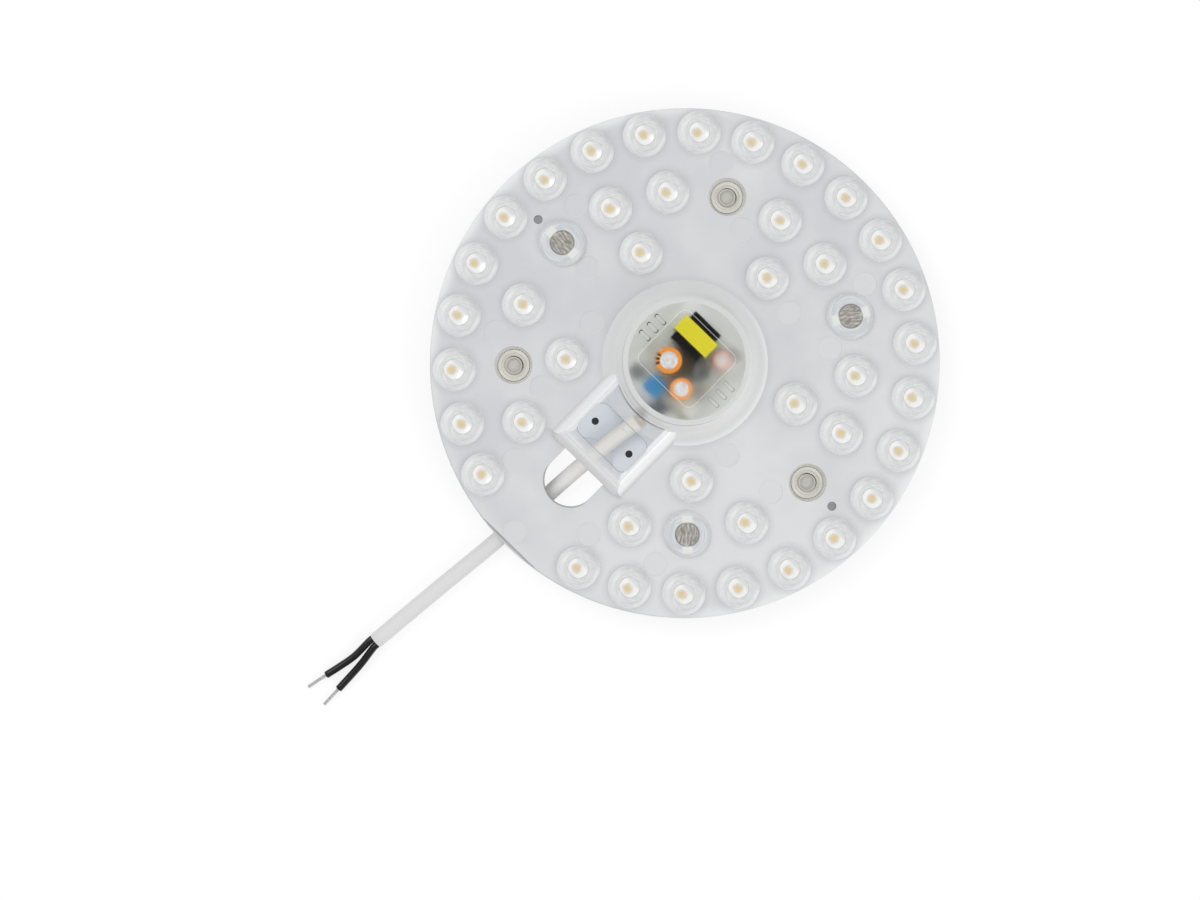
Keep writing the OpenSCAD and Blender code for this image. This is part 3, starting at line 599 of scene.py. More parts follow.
# %% Sort the cover's faces by finish
smooth_angle = math.radians(32.0)
cover_mesh = merged("lens_cover")
for edge in cover_mesh.edges:
    edge.smooth = len(edge.link_faces) == 2 and edge.calc_face_angle(0.0) < smooth_angle
for face in cover_mesh.faces:
    face.smooth = True
    face.material_index = 0
face_finishes = [cover_finish(face) for face in cover_mesh.faces]
print("cover:", len(face_finishes), "faces", len(set(face_finishes)), "finishes")

# %% [markdown]
# Lenses, marks and cups repeat, and their shaders draw rings about each middle. A UV map holds a
# point's place about its own middle, in radii, so that one material serves all of them. A cup's map is
# turned with its ring, because its tabs point outwards.

# %% Cut out a piece
local_layouts = {
    "rings": (lens_points, lens_r),
    "eyes": (lens_points, lens_r),
    "pins": (pin_points, pin_mark_r),
    "cups": (cup_points, cup_r),
}


def add_local_places(mesh, finish):
    """A UV map of each corner's place about the middle of its own lens, mark or cup."""
    points, r = local_layouts[finish]
    local = mesh.loops.layers.uv.new("local")
    for face in mesh.faces:
        centre = face.calc_center_median()
        number, _ = nearest(points, centre.x, centre.y)
        turn = math.radians(cup_angles[number]) if finish == "cups" else 0.0
        for loop in face.loops:
            x = loop.vert.co.x - points[number].x
            y = loop.vert.co.y - points[number].y
            out = x * math.cos(turn) + y * math.sin(turn)
            across = y * math.cos(turn) - x * math.sin(turn)
            loop[local].uv = (out / r, across / r)


def cover_piece(finish, material):
    """The part of the cover that has one finish."""
    mesh = cover_mesh.copy()
    others = [face for face, found in zip(mesh.faces, face_finishes) if found != finish]
    bmesh.ops.delete(mesh, geom=others, context="FACES")
    if finish in local_layouts:
        add_local_places(mesh, finish)
    return dressed_copy(mesh, "lens_cover", "cover_" + finish, material)


# %% [markdown]
# ### Plate, wells and dome
#
# The plate is cloudy grey and cooler towards the main lamp. The wells are a little warmer, and their walls
# paler, as painted light that lifts the shade in them, and the dome is painted brighter, as painted light
# that its flare gathers. All three are the same frosted plastic with greys of their own.

# %% Plate, wells and dome
plate_warm = rgb(223, 224, 225)
plate_cool = rgb(208, 210, 214)
plate_frost = frosted(
    "frosted plate", plate_warm, plate_cool, edge=rgb(198, 199, 200), far_side_shading=rgb(196, 197, 196),
    drift=2.5, rim=cover_r,
)
# painted light: pale greys that lift the shade in the wells' walls
well_frost = frosted(
    "frosted well", rgb(222, 221, 217), rgb(214, 214, 211), rgb(216, 215, 211), rgb(220, 219, 215)
)
# painted light: the dome's greys are brighter, most on slopes and on the far side
dome_frost = frosted(
    "frosted dome", rgb(217, 218, 217), rgb(212, 215, 215), rgb(231, 233, 232), rgb(240, 240, 239),
    slope_start=0.05, slope_end=0.6, foot=dome_foot_r,
)

# %% [markdown]
# ### Hood
#
# The hood covers the cable on its way to the dome. Its sloping sides have painted light and shade: as
# grey as the plate at the foot, bright above, brightest on the far side from the lamp and greyer on the end
# wall. Its top is thin and half clear, so that the board shows through, and the cable as a warm band; it is
# painted paler towards the sides. A fine line of painted shade goes round the opening for the cable tie,
# and a darker painted shade lies by the dome, deepest over the cores.

# %% Hood sides
hood_sides_lit, tree, shader = new_material("frosted hood sides")
ways = facing(tree)
# painted light: the sides are brightest where they face -Y, away from the lamp
tone = blend(tree, rgb(243, 244, 245), rgb(255, 255, 255), ramp(tree, ways["Y"], 0.3, -0.3))
# painted shade on the end wall, which faces -X
tone = blend(tree, tone, rgb(219, 219, 219), ramp(tree, ways["X"], -0.3, -0.7))
height = split(tree, object_place(tree))["Z"]
# painted light: grey at the foot, bright above
tone = blend(tree, rgb(214, 215, 217), tone, ramp(tree, height, face_z, face_z + 3.6 * MM))
finish_frost(tree, shader, tone)

# %% Hood top
sheath_r = 2.85 * MM
cable_slope = -0.175
cable_start_y = -7.1 * MM
hood_frost, tree, shader = new_material("frosted hood")
place = object_place(tree)
xyz = split(tree, place)
tone = blend(tree, rgb(202, 205, 210), rgb(198, 202, 209), noise(tree, place, 60.0, 2.0))
# painted light: the top is paler towards the hood's sides
paler_by_sides = ramp(tree, gap(tree, xyz["Y"]), access_half_w - 1.3 * MM, access_half_w + 1.7 * MM)
tone = blend(tree, tone, rgb(236, 238, 241), paler_by_sides)
at_end = ramp(tree, xyz["X"], -access_end + 0.9 * MM, -access_end - 3.6 * MM)
tone = blend(tree, tone, rgb(222, 222, 223), at_end)
cable_y = math_node(tree, "MULTIPLY_ADD", xyz["X"], cable_slope, cable_start_y)
over_cable = ramp(tree, gap(tree, xyz["Y"], cable_y), sheath_r + 0.55 * MM, sheath_r - 0.65 * MM)
before_end = ramp(tree, xyz["X"], -access_end - 0.6 * MM, -access_end + 0.4 * MM)
tone = blend(tree, tone, rgb(222, 216, 209), over_cable, before_end)
# painted shade: a dark line by the dome, deepest over the cores
shade_by_dome = ramp(tree, from_axis(tree, place), hood_start_r + 1.1 * MM, hood_start_r + 0.3 * MM)
over_cores = ramp(tree, gap(tree, xyz["Y"], -1.0 * MM), 12.0 * MM, 1.0 * MM)
tone = blend(tree, tone, rgb(70, 70, 80), shade_by_dome, math_node(tree, "MULTIPLY_ADD", over_cores, 0.5, 0.5))
offset = vector_node(tree, "ABSOLUTE", vector_node(tree, "ADD", place, (access_x, 0.0, 0.0)))
straight = (access_half_l - access_corner, access_half_w - access_corner, 1.0)
beyond = vector_node(tree, "MAXIMUM", vector_node(tree, "SUBTRACT", offset, straight))
# painted shade: a fine dark line round the opening for the cable tie
line = ramp(tree, length_of(tree, beyond), access_corner + 0.6 * MM, access_corner + 0.1 * MM)
finish_frost(tree, shader, blend(tree, tone, rgb(160, 164, 170), line), 0.42)
set_values(shader, {"Alpha": 0.42})

# %% [markdown]
# ### Lens rings
#
# Round each eye, a lens is a shallow ring. It carries fine turning marks from the mould, and the light it
# catches on both sides of its rim is painted: a paler outer edge, a bright crescent on the lamp's side and a
# thin brighter one on the far side, with painted shade at the eye's edge, on the low side and inside the rim
# towards +X. Arcs of noise stand for the streaks, and a sine of the radius makes the turning marks as bumps,
# which costs no geometry on forty lenses.


# %% Places on a lens, mark or cup
def local_uv(tree):
    """The place about the middle, in radii."""
    return node(tree, "ShaderNodeUVMap", uv_map="local").outputs["UV"]


def local_radius(tree, uv, r):
    """How far such a place is from the middle, in metres."""
    return product(tree, length_of(tree, uv), r)


def arcs(tree, uv, away, across, along):
    """Noise drawn out into arcs about the middle."""
    around = vector_node(tree, "MULTIPLY", vector_node(tree, "NORMALIZE", uv), (along, along, along))
    flat = split(tree, around)
    return noise(tree, joined(tree, flat["X"], flat["Y"], product(tree, away, across)), 1.0, 5.0)


# %% Lens rings
rim_start = 5.8 * MM
rim_end = 7.2 * MM
ring_finish, tree, shader = new_material("lens ring")
uv = local_uv(tree)
away = local_radius(tree, uv, lens_r)
sides = split(tree, uv)
near_rim = band(tree, away, rim_start, rim_end, 1.0 * MM)
thin_rim = band(tree, away, rim_end - 0.7 * MM, rim_end, 0.6 * MM)
inside_rim = band(tree, away, rim_end - 0.8 * MM, rim_end - 0.1 * MM, 0.7 * MM)
lamp_side = product(tree, math_node(tree, "SUBTRACT", sides["Y"], sides["X"]), 0.7)
low_side = product(tree, math_node(tree, "ADD", sides["Y"], sides["X"]), -0.7)
# painted shade at the edge of the eye
tone = blend(tree, rgb(196, 197, 198), rgb(217, 218, 218), ramp(tree, away, eye_r, eye_r + 0.5 * MM))
tone = blend(tree, tone, rgb(213, 215, 216), ramp(tree, away, 4.4 * MM, 6.2 * MM))
# painted light and shade: a paler outer edge, a crescent on the lamp's side, a thin bright crescent at -Y,
# and shade on the low side and inside the rim towards +X
tone = blend(tree, tone, rgb(224, 225, 226), ramp(tree, away, rim_end - 0.4 * MM, rim_end + 0.1 * MM))
tone = blend(tree, tone, rgb(236, 237, 238), ramp(tree, lamp_side, -0.1, 0.7), near_rim, 0.7)
tone = blend(tree, tone, rgb(244, 245, 245), ramp(tree, sides["Y"], -0.3, -0.8), thin_rim, 0.8)
tone = blend(tree, tone, rgb(203, 205, 207), ramp(tree, low_side, 0.2, 0.7), near_rim, 0.3)
tone = blend(tree, tone, rgb(192, 194, 197), ramp(tree, sides["X"], 0.4, 0.85), inside_rim, 0.4)
streaks = ramp(tree, arcs(tree, uv, away, 2.2 / MM, 2.4), 0.42, 0.72)
tone = blend(tree, tone, rgb(242, 243, 242), streaks, 0.5)
dents = ramp(tree, arcs(tree, uv, away, 2.6 / MM, 12.0), 0.58, 0.74)
tone = blend(tree, tone, rgb(176, 178, 180), dents, 0.45)
finish_surface(tree, shader, tone, 0.42, amount=0.15, scale=2600.0)
turning = math_node(tree, "SINE", product(tree, away, 9.0 / MM))
lift = node(tree, "ShaderNodeBump", {"Height": turning, "Strength": 0.3, "Distance": 0.01 * MM})
tree.links.new(lift.outputs["Normal"], shader.inputs["Normal"])

# %% [markdown]
# ### Lens eyes
#
# The middle of a lens shows its LED enlarged: a white package with a soft yellow spot, which lies a
# little differently in each lens. That picture is painted on the eye, with painted light in it: the package
# is painted bright in a band across the eye and greyer at its sides, with a painted shade round the spot.
# Painting it is cheaper and cleaner than tracing light through forty small lenses. Noise on the object's
# own coordinates moves the spot.

# %% Lens eyes
eye_finish, tree, shader = new_material("lens eye")
uv = local_uv(tree)
place = object_place(tree)
own_look = vector_node(tree, "ADD", uv, vector_node(tree, "MULTIPLY", place, (150.0, 150.0, 0.0)))
wobble = math_node(tree, "SUBTRACT", noise(tree, own_look, 3.0, 1.0), 0.5)
drift = vector_node(tree, "SUBTRACT", noise(tree, place, 45.0, 1.0, output="Color"), (0.5, 0.5, 0.0))
spot_middle = vector_node(tree, "MULTIPLY_ADD", drift, (0.25, 0.25, 0.0), (-0.06, 0.04, 0.0))
spot_away = local_radius(tree, vector_node(tree, "SUBTRACT", uv, spot_middle), lens_r)
blurred = math_node(tree, "MULTIPLY_ADD", wobble, 1.1 * MM, spot_away)
# painted highlight: a bright band across the eye, greyer at the sides
eye_highlight = ramp(tree, gap(tree, split(tree, uv)["X"], -0.08), 0.42, 0.2)
package_lit_white = blend(tree, rgb(222, 224, 226), rgb(247, 247, 246), eye_highlight)
# painted shade round the spot
tone = blend(tree, rgb(226, 222, 212), package_lit_white, ramp(tree, blurred, 1.2 * MM, 2.6 * MM))
tone = blend(tree, tone, rgb(226, 205, 158), ramp(tree, blurred, 2.1 * MM, 0.3 * MM))
finish_surface(tree, shader, tone, 0.16, amount=0.02)
set_values(shader, {"Coat Weight": 0.4})

# %% [markdown]
# ### Pin marks and snap cups
#
# The mould's ejector pins leave shallow round marks in the plate, seen only by the light on their far
# edge, which is painted as a paler grey. The cups are clear caps over the snap posts: a streaky metallic
# disc in the middle, glassy rings round it, and two pale tabs that point along the ring's radius. Their
# outer wall is painted near white, as painted light on a wall that would lie in shade.

# %% Pin marks
pin_finish, tree, shader = new_material("pin mark")
uv = local_uv(tree)
away = local_radius(tree, uv, pin_mark_r)
lit_edge = ramp(tree, away, pin_mark_r - 0.6 * MM, pin_mark_r - 0.1 * MM)
far_side = ramp(tree, split(tree, uv)["Y"], 0.7, -0.7)
across_plate = split(tree, object_place(tree))["Y"]
plate_grey = blend(tree, plate_warm, plate_cool, ramp(tree, across_plate, -0.12, 0.12))
# painted light on the far edge of the mark
tone = blend(tree, plate_grey, rgb(221, 222, 224), lit_edge, far_side)
finish_surface(tree, shader, tone, 0.42, amount=0.03, scale=600.0)

# %% Snap cups
cup_disc_r = 4.3 * MM
cup_finish, tree, shader = new_material("snap cup")
uv = local_uv(tree)
away = local_radius(tree, uv, cup_r)
sides = split(tree, uv)
streaks = noise(tree, vector_node(tree, "MULTIPLY", uv, (3.0, 11.0, 1.0)), 1.0, 6.0)
disc = blend(tree, rgb(144, 139, 132), rgb(212, 209, 203), ramp(tree, streaks, 0.36, 0.68))
disc = blend(tree, disc, rgb(128, 126, 122), ramp(tree, away, cup_disc_r - 0.7 * MM, cup_disc_r))
rings = ramp(tree, arcs(tree, uv, away, 1.4 / MM, 0.8), 0.35, 0.65)
glassy = blend(tree, rgb(212, 216, 219), rgb(231, 234, 236), rings)
tone = blend(tree, glassy, disc, ramp(tree, away, cup_disc_r + 0.3 * MM, cup_disc_r - 0.2 * MM))
tab_side = band(tree, gap(tree, sides["X"]), 0.56, 0.74, 0.12)
tab_width = band(tree, sides["Y"], -0.16, 0.16, 0.12)
tone = blend(tree, tone, rgb(242, 244, 240), tab_side, tab_width)
# painted light: the outer wall is near white where it would lie in shade
tone = blend(tree, tone, rgb(250, 250, 250), ramp(tree, away, cup_r - 0.5 * MM, cup_r - 0.15 * MM))
finish_surface(tree, shader, tone, 0.2, amount=0.04, scale=1200.0)
set_values(shader, {"Alpha": 0.9, "Coat Weight": 0.3})

# %% [markdown]
# ### Window
#
# The dome's window is polished outside and frosted inside, so the driver shows through a haze that
# grows with depth. Two faces of clear plastic do that: a smooth one and a rough one. The vents' walls have
# painted shade, darkest at their ends and more so on the lamp's side, and the bead on the window is a faint
# raised line.


# %% Window, vents and bead
def clear_plastic(name, roughness):
    """Plastic that lets light through, with a low index that bends it little."""
    made, tree, shader = new_material(name)
    finish_surface(tree, shader, rgb(250, 251, 250), roughness, amount=0.02, scale=500.0)
    set_values(shader, {"Transmission Weight": 1.0, "IOR": 1.2, "Specular IOR Level": 0.1})
    return made


window_finish = clear_plastic("window outside", 0.06)
ceiling_finish = clear_plastic("window inside", 0.64)
bead_finish = plain("window bead", rgb(246, 247, 247), 0.2, values={"Alpha": 0.24})
vent_finish, tree, shader = new_material("vent edge")
across = split(tree, object_place(tree))["Y"]
at_end = ramp(tree, gap(tree, gap(tree, across), vent_y), 1.5 * MM, 2.0 * MM)
lamp_side = math_node(tree, "MULTIPLY_ADD", ramp(tree, across, -1.0 * MM, 1.0 * MM), 0.7, 0.3)
# painted shade on the vents' walls, darkest at their ends on the lamp's side
finish_surface(tree, shader, blend(tree, rgb(186, 188, 188), rgb(40, 42, 38), at_end, lamp_side), 0.45)

# %% Make the cover
cover_finishes = {
    "plate": plate_frost,
    "pins": pin_finish,
    "wells": well_frost,
    "hood": hood_frost,
    "hood_sides": hood_sides_lit,
    "dome": dome_frost,
    "window": window_finish,
    "ceiling": ceiling_finish,
    "vents": vent_finish,
    "bead": bead_finish,
    "rings": ring_finish,
    "eyes": eye_finish,
    "cups": cup_finish,
}
cover = {finish: cover_piece(finish, material) for finish, material in cover_finishes.items()}
cover_mesh.free()

# %% [markdown]
# The dome, its window and the hood are clear plastic, so light reaches what is under them. Casting no
# shadow and staying out of light's way between surfaces does that without tracing each lamp and the
# sky through rough plastic.

# %% Let light into the dome
for finish in ("dome", "window", "ceiling", "vents", "bead", "hood", "hood_sides"):
    cover[finish].visible_shadow = False
    cover[finish].visible_diffuse = False
    print("no shadow:", cover[finish].name)

# %% [markdown]
# ## LEDs
#
# One package sits on each lens point: a white block with a round phosphor spot. The points carry their
# angle, so that each package turns with its ring. Geometry Nodes put the same small block on every
# point, and its sizes stay inputs of the group.


# %% Helpers for Geometry Nodes
def geometry_group(name, inputs):
    return new_group(
        name, "Geometry", [("Geometry", "Geometry", None)] + inputs, [("Geometry", "Geometry")])


def raise_up(tree, geometry, height):
    """Geometry moved up by a height."""
    lift = {"Geometry": geometry, "Translation": joined(tree, z=height)}
    return node(tree, "GeometryNodeTransform", lift).outputs[0]


def with_material(tree, geometry, material):
    return node(tree, "GeometryNodeSetMaterial", {"Geometry": geometry, "Material": material}).outputs[0]


def together(tree, *geometries):
    """Several geometries as one."""
    made = node(tree, "GeometryNodeJoinGeometry")
    for geometry in geometries:
        tree.links.new(geometry, made.inputs[0])
    return made.outputs[0]


def realized(tree, geometry):
    """Instances turned into real geometry."""
    return node(tree, "GeometryNodeRealizeInstances", {"Geometry": geometry}).outputs[0]


def made_by_nodes(name, data, group, values, *replaced):
    """A piece whose mesh is what a Geometry Nodes group makes from some data, as a plain mesh."""
    maker = bpy.data.objects.new(name + "_maker", data)
    bpy.context.scene.collection.objects.link(maker)
    modifier = maker.modifiers.new(group.name, "NODES")
    modifier.node_group = group
    for item in group.interface.items_tree:
        if item.in_out == "INPUT" and item.name in values:
            modifier[item.identifier] = values[item.name]
    graph = bpy.context.evaluated_depsgraph_get()
    made = bpy.data.meshes.new_from_object(maker.evaluated_get(graph), depsgraph=graph)
    bpy.data.objects.remove(maker)
    return new_piece(name, made, *replaced)


# %% Geometry Nodes for the packages
packages, given, result = geometry_group("LED packages", [
    ("Length", "Float", 3.5 * MM), ("Width", "Float", 2.8 * MM), ("Height", "Float", 0.8 * MM),
    ("Spot Radius", "Float", 1.1 * MM), ("Body", "Material", None), ("Phosphor", "Material", None),
])
block_size = joined(packages, given["Length"], given["Width"], given["Height"])
block = node(packages, "GeometryNodeMeshCube", {"Size": block_size}).outputs["Mesh"]
block = raise_up(packages, block, product(packages, given["Height"], 0.5))
spot = node(packages, "GeometryNodeMeshCircle", {"Radius": given["Spot Radius"]}, fill_type="NGON")
spot = raise_up(packages, spot.outputs["Mesh"], math_node(packages, "ADD", given["Height"], 0.01 * MM))
block = with_material(packages, block, given["Body"])
spot = with_material(packages, spot, given["Phosphor"])
turn = node(packages, "GeometryNodeInputNamedAttribute", {"Name": "turn"}, data_type="FLOAT")
turn = joined(packages, z=turn.outputs["Attribute"])
turn = node(packages, "FunctionNodeEulerToRotation", {"Euler": turn}).outputs[0]
placed = node(packages, "GeometryNodeInstanceOnPoints", {
    "Points": given["Geometry"], "Instance": together(packages, block, spot), "Rotation": turn})
give(packages, result["Geometry"], realized(packages, placed.outputs[0]))

# %% Make the packages
led_body = plain("led body", rgb(250, 249, 244), 0.45, amount=0.03)
phosphor = plain("led phosphor", rgb(240, 205, 130), 0.55, amount=0.12, scale=2500.0)
led_points = bpy.data.meshes.new("led_points")
led_points.from_pydata([(p.x, p.y, deck_z) for p in lens_points], [], [])
turns = led_points.attributes.new("turn", "FLOAT", "POINT")
for i, angle in enumerate(lens_angles):
    turns.data[i].value = math.radians(angle)
made_by_nodes(
    "led_packages", led_points, packages, {"Body": led_body, "Phosphor": phosphor},
    "leds_outer_ring", "leds_middle_ring", "leds_inner_ring",
)

# %% [markdown]
# ## Boards and magnets
#
# The LED board is white on top and bare aluminium underneath, so its height tells its finish. Its white is
# painted a cool grey outside the dome, as painted shade, and warmer under it. The magnet pots are riveted
# through washers in the open wells, all nickel plated. A rivet's turned edge gets a dark line of painted
# shade, deepest on one side. The washers reach the wall of their wells, so that no gap shows round them.

# %% LED board
board_white, tree, shader = new_material("board white")
place = object_place(tree)
on_top = ramp(tree, split(tree, place)["Z"], deck_z - 0.3 * MM, deck_z - 0.1 * MM)
under_dome = ramp(tree, from_axis(tree, place), dome_top_r + 3.0 * MM, dome_top_r + 1.0 * MM)
# painted shade: the white is a cool grey outside the dome, warmer under it
mask_white_shaded = blend(tree, rgb(217, 223, 230), rgb(227, 229, 225), under_dome)
board_colour = blend(tree, rgb(176, 178, 180), mask_white_shaded, on_top)
finish_surface(tree, shader, board_colour, 0.4, amount=0.03, scale=400.0)
tree.links.new(math_node(tree, "SUBTRACT", 1.0, on_top), shader.inputs["Metallic"])
paint("led_board", board_white)


# %% Nickel
rivet_r = 3.05 * MM


def well_nickel(name, colour, point):
    """Nickel with a dark line of painted shade at a rivet's turned edge, deepest towards +X."""
    made, tree, shader = new_material(name)
    offset = vector_node(tree, "SUBTRACT", object_place(tree), (point.x, point.y, deck_z))
    away = from_axis(tree, offset)
    way = split(tree, offset)
    turned_edge_shade = band(tree, away, rivet_r, rivet_r + 0.25 * MM, 0.15 * MM)
    above_deck = ramp(tree, way["Z"], 0.0, 0.1 * MM)
    deep = ramp(tree, math_node(tree, "DIVIDE", way["X"], away), 0.0, 0.8)
    deep = math_node(tree, "MULTIPLY_ADD", deep, 0.7, 0.25)
    # painted shade at the rivet's turned edge, deepest towards +X
    tone = blend(tree, colour, rgb(66, 62, 56), turned_edge_shade, above_deck, deep)
    finish_surface(tree, shader, tone, 0.55, amount=0.1, scale=1500.0)
    set_values(shader, {"Metallic": 0.2})
    return made


# %% Washers that reach the wall of their wells
washer_rim_r = 5.1 * MM
washer_foot_reach = 0.15 * MM
washer_top_reach = 0.36 * MM


def washer_piece(number, point, material):
    """A washer with its rim drawn out to the wall of its well."""
    mesh = merged(f"cup_washer_{number}")
    for vert in mesh.verts:
        out = Vector((vert.co.x - point.x, vert.co.y - point.y, 0.0))
        if out.length > washer_rim_r:
            at_foot = vert.co.z < deck_z + 0.1 * MM
            vert.co += (washer_foot_reach if at_foot else washer_top_reach) * out.normalized()
    dressed_copy(mesh, f"cup_washer_{number}", f"washer_{number}", material)


bright_nickel = plain(
    "bright nickel", rgb(214, 214, 214), 0.2, amount=0.08, scale=1200.0, values={"Metallic": 1.0})
for i, point in enumerate(well_points, start=1):
    paint(f"magnet_pot_{i}", well_nickel(f"riveted nickel {i}", rgb(204, 202, 196), point))
    washer_piece(i, point, well_nickel(f"washer nickel {i}", rgb(234, 232, 223), point))
    paint(f"magnet_{i}", bright_nickel)

# %% [markdown]
# ## Driver
#
# The driver's parts are seen through the dome's window. The cans show a bright aluminium top inside
# the lap of their sleeve, and the large one has the dark marks of its negative side. A group finds
# these areas from a can's middle, radius and top, so that one function makes the material of each.

# %% Can: masks for a capacitor's top and marks
lap_share = 0.67
sleeve_share = 0.7
mark_half_angle = 0.56
mark_dashes = 17.0
can_group, given, result = new_group(
    "Can", "Shader",
    [
        ("Centre", "Vector", (0.0, 0.0, 0.0)), ("Radius", "Float", 4.0 * MM), ("Top", "Float", 0.0),
        ("Mark Angle", "Float", 0.0), ("Marks", "Float", 0.0),
    ],
    [("Metal", "Float"), ("Mark", "Float")],
)
local = vector_node(can_group, "SUBTRACT", object_place(can_group), given["Centre"])
xyz = split(can_group, local)
share = math_node(can_group, "DIVIDE", from_axis(can_group, local), given["Radius"])
depth = math_node(can_group, "SUBTRACT", given["Top"], xyz["Z"])
inside_lap = math_node(can_group, "LESS_THAN", share, lap_share)
near_top = math_node(can_group, "LESS_THAN", depth, 0.6 * MM)
give(can_group, result["Metal"], product(can_group, inside_lap, near_top))
angle = math_node(can_group, "ARCTAN2", xyz["Y"], xyz["X"])
angle = math_node(can_group, "SUBTRACT", angle, given["Mark Angle"])
angle = math_node(can_group, "WRAP", angle, math.pi, -math.pi)
in_sector = math_node(can_group, "LESS_THAN", gap(can_group, angle), mark_half_angle)
dash = math_node(can_group, "COSINE", product(can_group, angle, mark_dashes))
dash = math_node(can_group, "GREATER_THAN", dash, -0.3)
on_sleeve = math_node(can_group, "GREATER_THAN", share, sleeve_share)
give(can_group, result["Mark"], product(can_group, in_sector, dash, on_sleeve, given["Marks"]))


# %% Cans with sleeves
def can_material(name, part, sleeve, marks=0.0, mark_angle=126.0):
    """Paints a can with its sleeve, its bright top and, if it has them, its dark marks."""
    low, high = box_of(part)
    made, tree, shader = new_material(name)
    can = node(tree, "ShaderNodeGroup", {
        "Centre": ((low.x + high.x) / 2, (low.y + high.y) / 2, 0.0), "Radius": (high.x - low.x) / 2,
        "Top": high.z, "Marks": marks, "Mark Angle": math.radians(mark_angle)}, node_tree=can_group)
    marked = blend(tree, sleeve, rgb(28, 26, 26), can.outputs["Mark"])
    dull = ramp(tree, noise(tree, object_place(tree), 700.0, 3.0), 0.4, 0.75)
    metal = blend(tree, rgb(240, 239, 238), rgb(204, 201, 200), dull)
    colour = blend(tree, marked, metal, can.outputs["Metal"])
    finish_surface(tree, shader, colour, 0.3, amount=0.05, scale=800.0)
    tree.links.new(product(tree, can.outputs["Metal"], 0.2), shader.inputs["Metallic"])
    paint(part, made)


can_material("bulk capacitor sleeve", "bulk_capacitor", rgb(238, 146, 38), marks=1.0)
can_material("output capacitor sleeve", "output_capacitor", rgb(243, 160, 80))
can_material("filter capacitor sleeve", "filter_capacitor", rgb(240, 178, 168))

# %% [markdown]
# ### Board and other parts
#
# The driver's board is white, but little light comes between the tall parts in its middle, so its middle
# is painted dark as painted shade, and it is painted palest by the dome's wall, as painted light. A radial
# blend gives that. The other parts are small mouldings, ferrite, tape and lacquer, blurred by the window,
# so a speckled colour each is enough.

# %% Driver board
driver_board_shaded, tree, shader = new_material("driver board")
from_middle = from_axis(tree, object_place(tree))
# painted shade in the middle, where little light comes between the tall parts
tone = blend(tree, rgb(122, 132, 116), rgb(212, 220, 212), ramp(tree, from_middle, 3.0 * MM, 9.0 * MM))
# painted light by the dome's wall
tone = blend(tree, tone, rgb(239, 242, 239), ramp(tree, from_middle, 13.0 * MM, 18.5 * MM))
finish_surface(tree, shader, tone, 0.45, amount=0.06, scale=500.0)
paint("driver_board", driver_board_shaded)

# %% Other driver parts
black_plastic = plain("black plastic", rgb(8, 8, 8), 0.5, amount=0.1, values={"Specular IOR Level": 0.05})
pale_moulding = plain("pale moulding", rgb(176, 177, 175), 0.5, amount=0.1)
enamel = plain(
    "enamelled wire", rgb(170, 105, 50), 0.35, amount=0.2, scale=1500.0, values={"Metallic": 0.6})
driver_finishes = {
    "transformer_bobbin": black_plastic,
    "bridge_rectifier": plain("grey moulding", rgb(126, 127, 126), 0.5, amount=0.1),
    "control_chip": pale_moulding,
    "output_diode": pale_moulding,
    "header_blocks": plain("white nylon", rgb(226, 226, 220), 0.45, amount=0.06),
    "header_pins": plain("tinned pins", rgb(214, 208, 190), 0.3, values={"Metallic": 1.0}),
    "transformer_core": plain("ferrite", rgb(34, 34, 37), 0.55, amount=0.15, scale=2000.0),
    "transformer_winding": enamel,
    "transformer_tape": plain("yellow tape", rgb(222, 212, 8), 0.35, amount=0.05, scale=300.0),
    "input_capacitor": plain("blue epoxy", rgb(50, 134, 186), 0.3, amount=0.06),
    "drum_choke": plain("choke sleeve", rgb(106, 107, 106), 0.5, amount=0.12),
    "fuse_resistor": plain("resistor lacquer", rgb(166, 174, 160), 0.35, amount=0.08),
}
for part, material in driver_finishes.items():
    paint(part, material)
print("driver parts painted:", len(driver_finishes))

# %% [markdown]
# ## Cable
#
# A white sheath with two black cores comes out from under the hood, through the slot and under the
# plate. The sheath and the cores follow the same points as their CAD tubes, smoothed and rounder: a
# curve through the points keeps the route, and a ring of corners at each step makes the tube.

# %% Routes
core_r = 1.3 * MM
core_gap = 0.05 * MM
core_lead = 2.0 * MM
low_z = sheath_r
high_z = deck_z + sheath_r
sheath_path = [
    (-26.375, -2.48, 1.15), (-30.375, -1.78, 1.05), (-31.5, -1.59, 1.0), (-36.0, -0.8, 1.0),
    (-41.0, -0.2, 1.0), (-45.0, 0.3, 0.95), (-49.0, 0.7, 0.82), (-54.0, 1.2, 0.5), (-59.0, 1.6, 0.18),
    (-63.0, 1.9, 0.04), (-68.0, 2.2, 0.0), (-80.0, 3.0, 0.0), (-95.0, 4.2, 0.0), (-111.0, 6.0, 0.0),
    (-127.0, 7.7, 0.0), (-147.0, 9.7, 0.0),
]
core_a_bends = [(-156.0, 11.3, 2.1), (-162.0, 12.4, 1.5), (-168.0, 13.8, 1.4)]
core_b_bends = [(-156.0, 7.7, 2.1), (-162.0, 7.4, 1.5), (-168.5, 7.2, 1.4)]
tip_a_end = Vector((-175.5, 15.4, 1.1)) * MM
tip_b_end = Vector((-176.0, 7.0, 1.1)) * MM


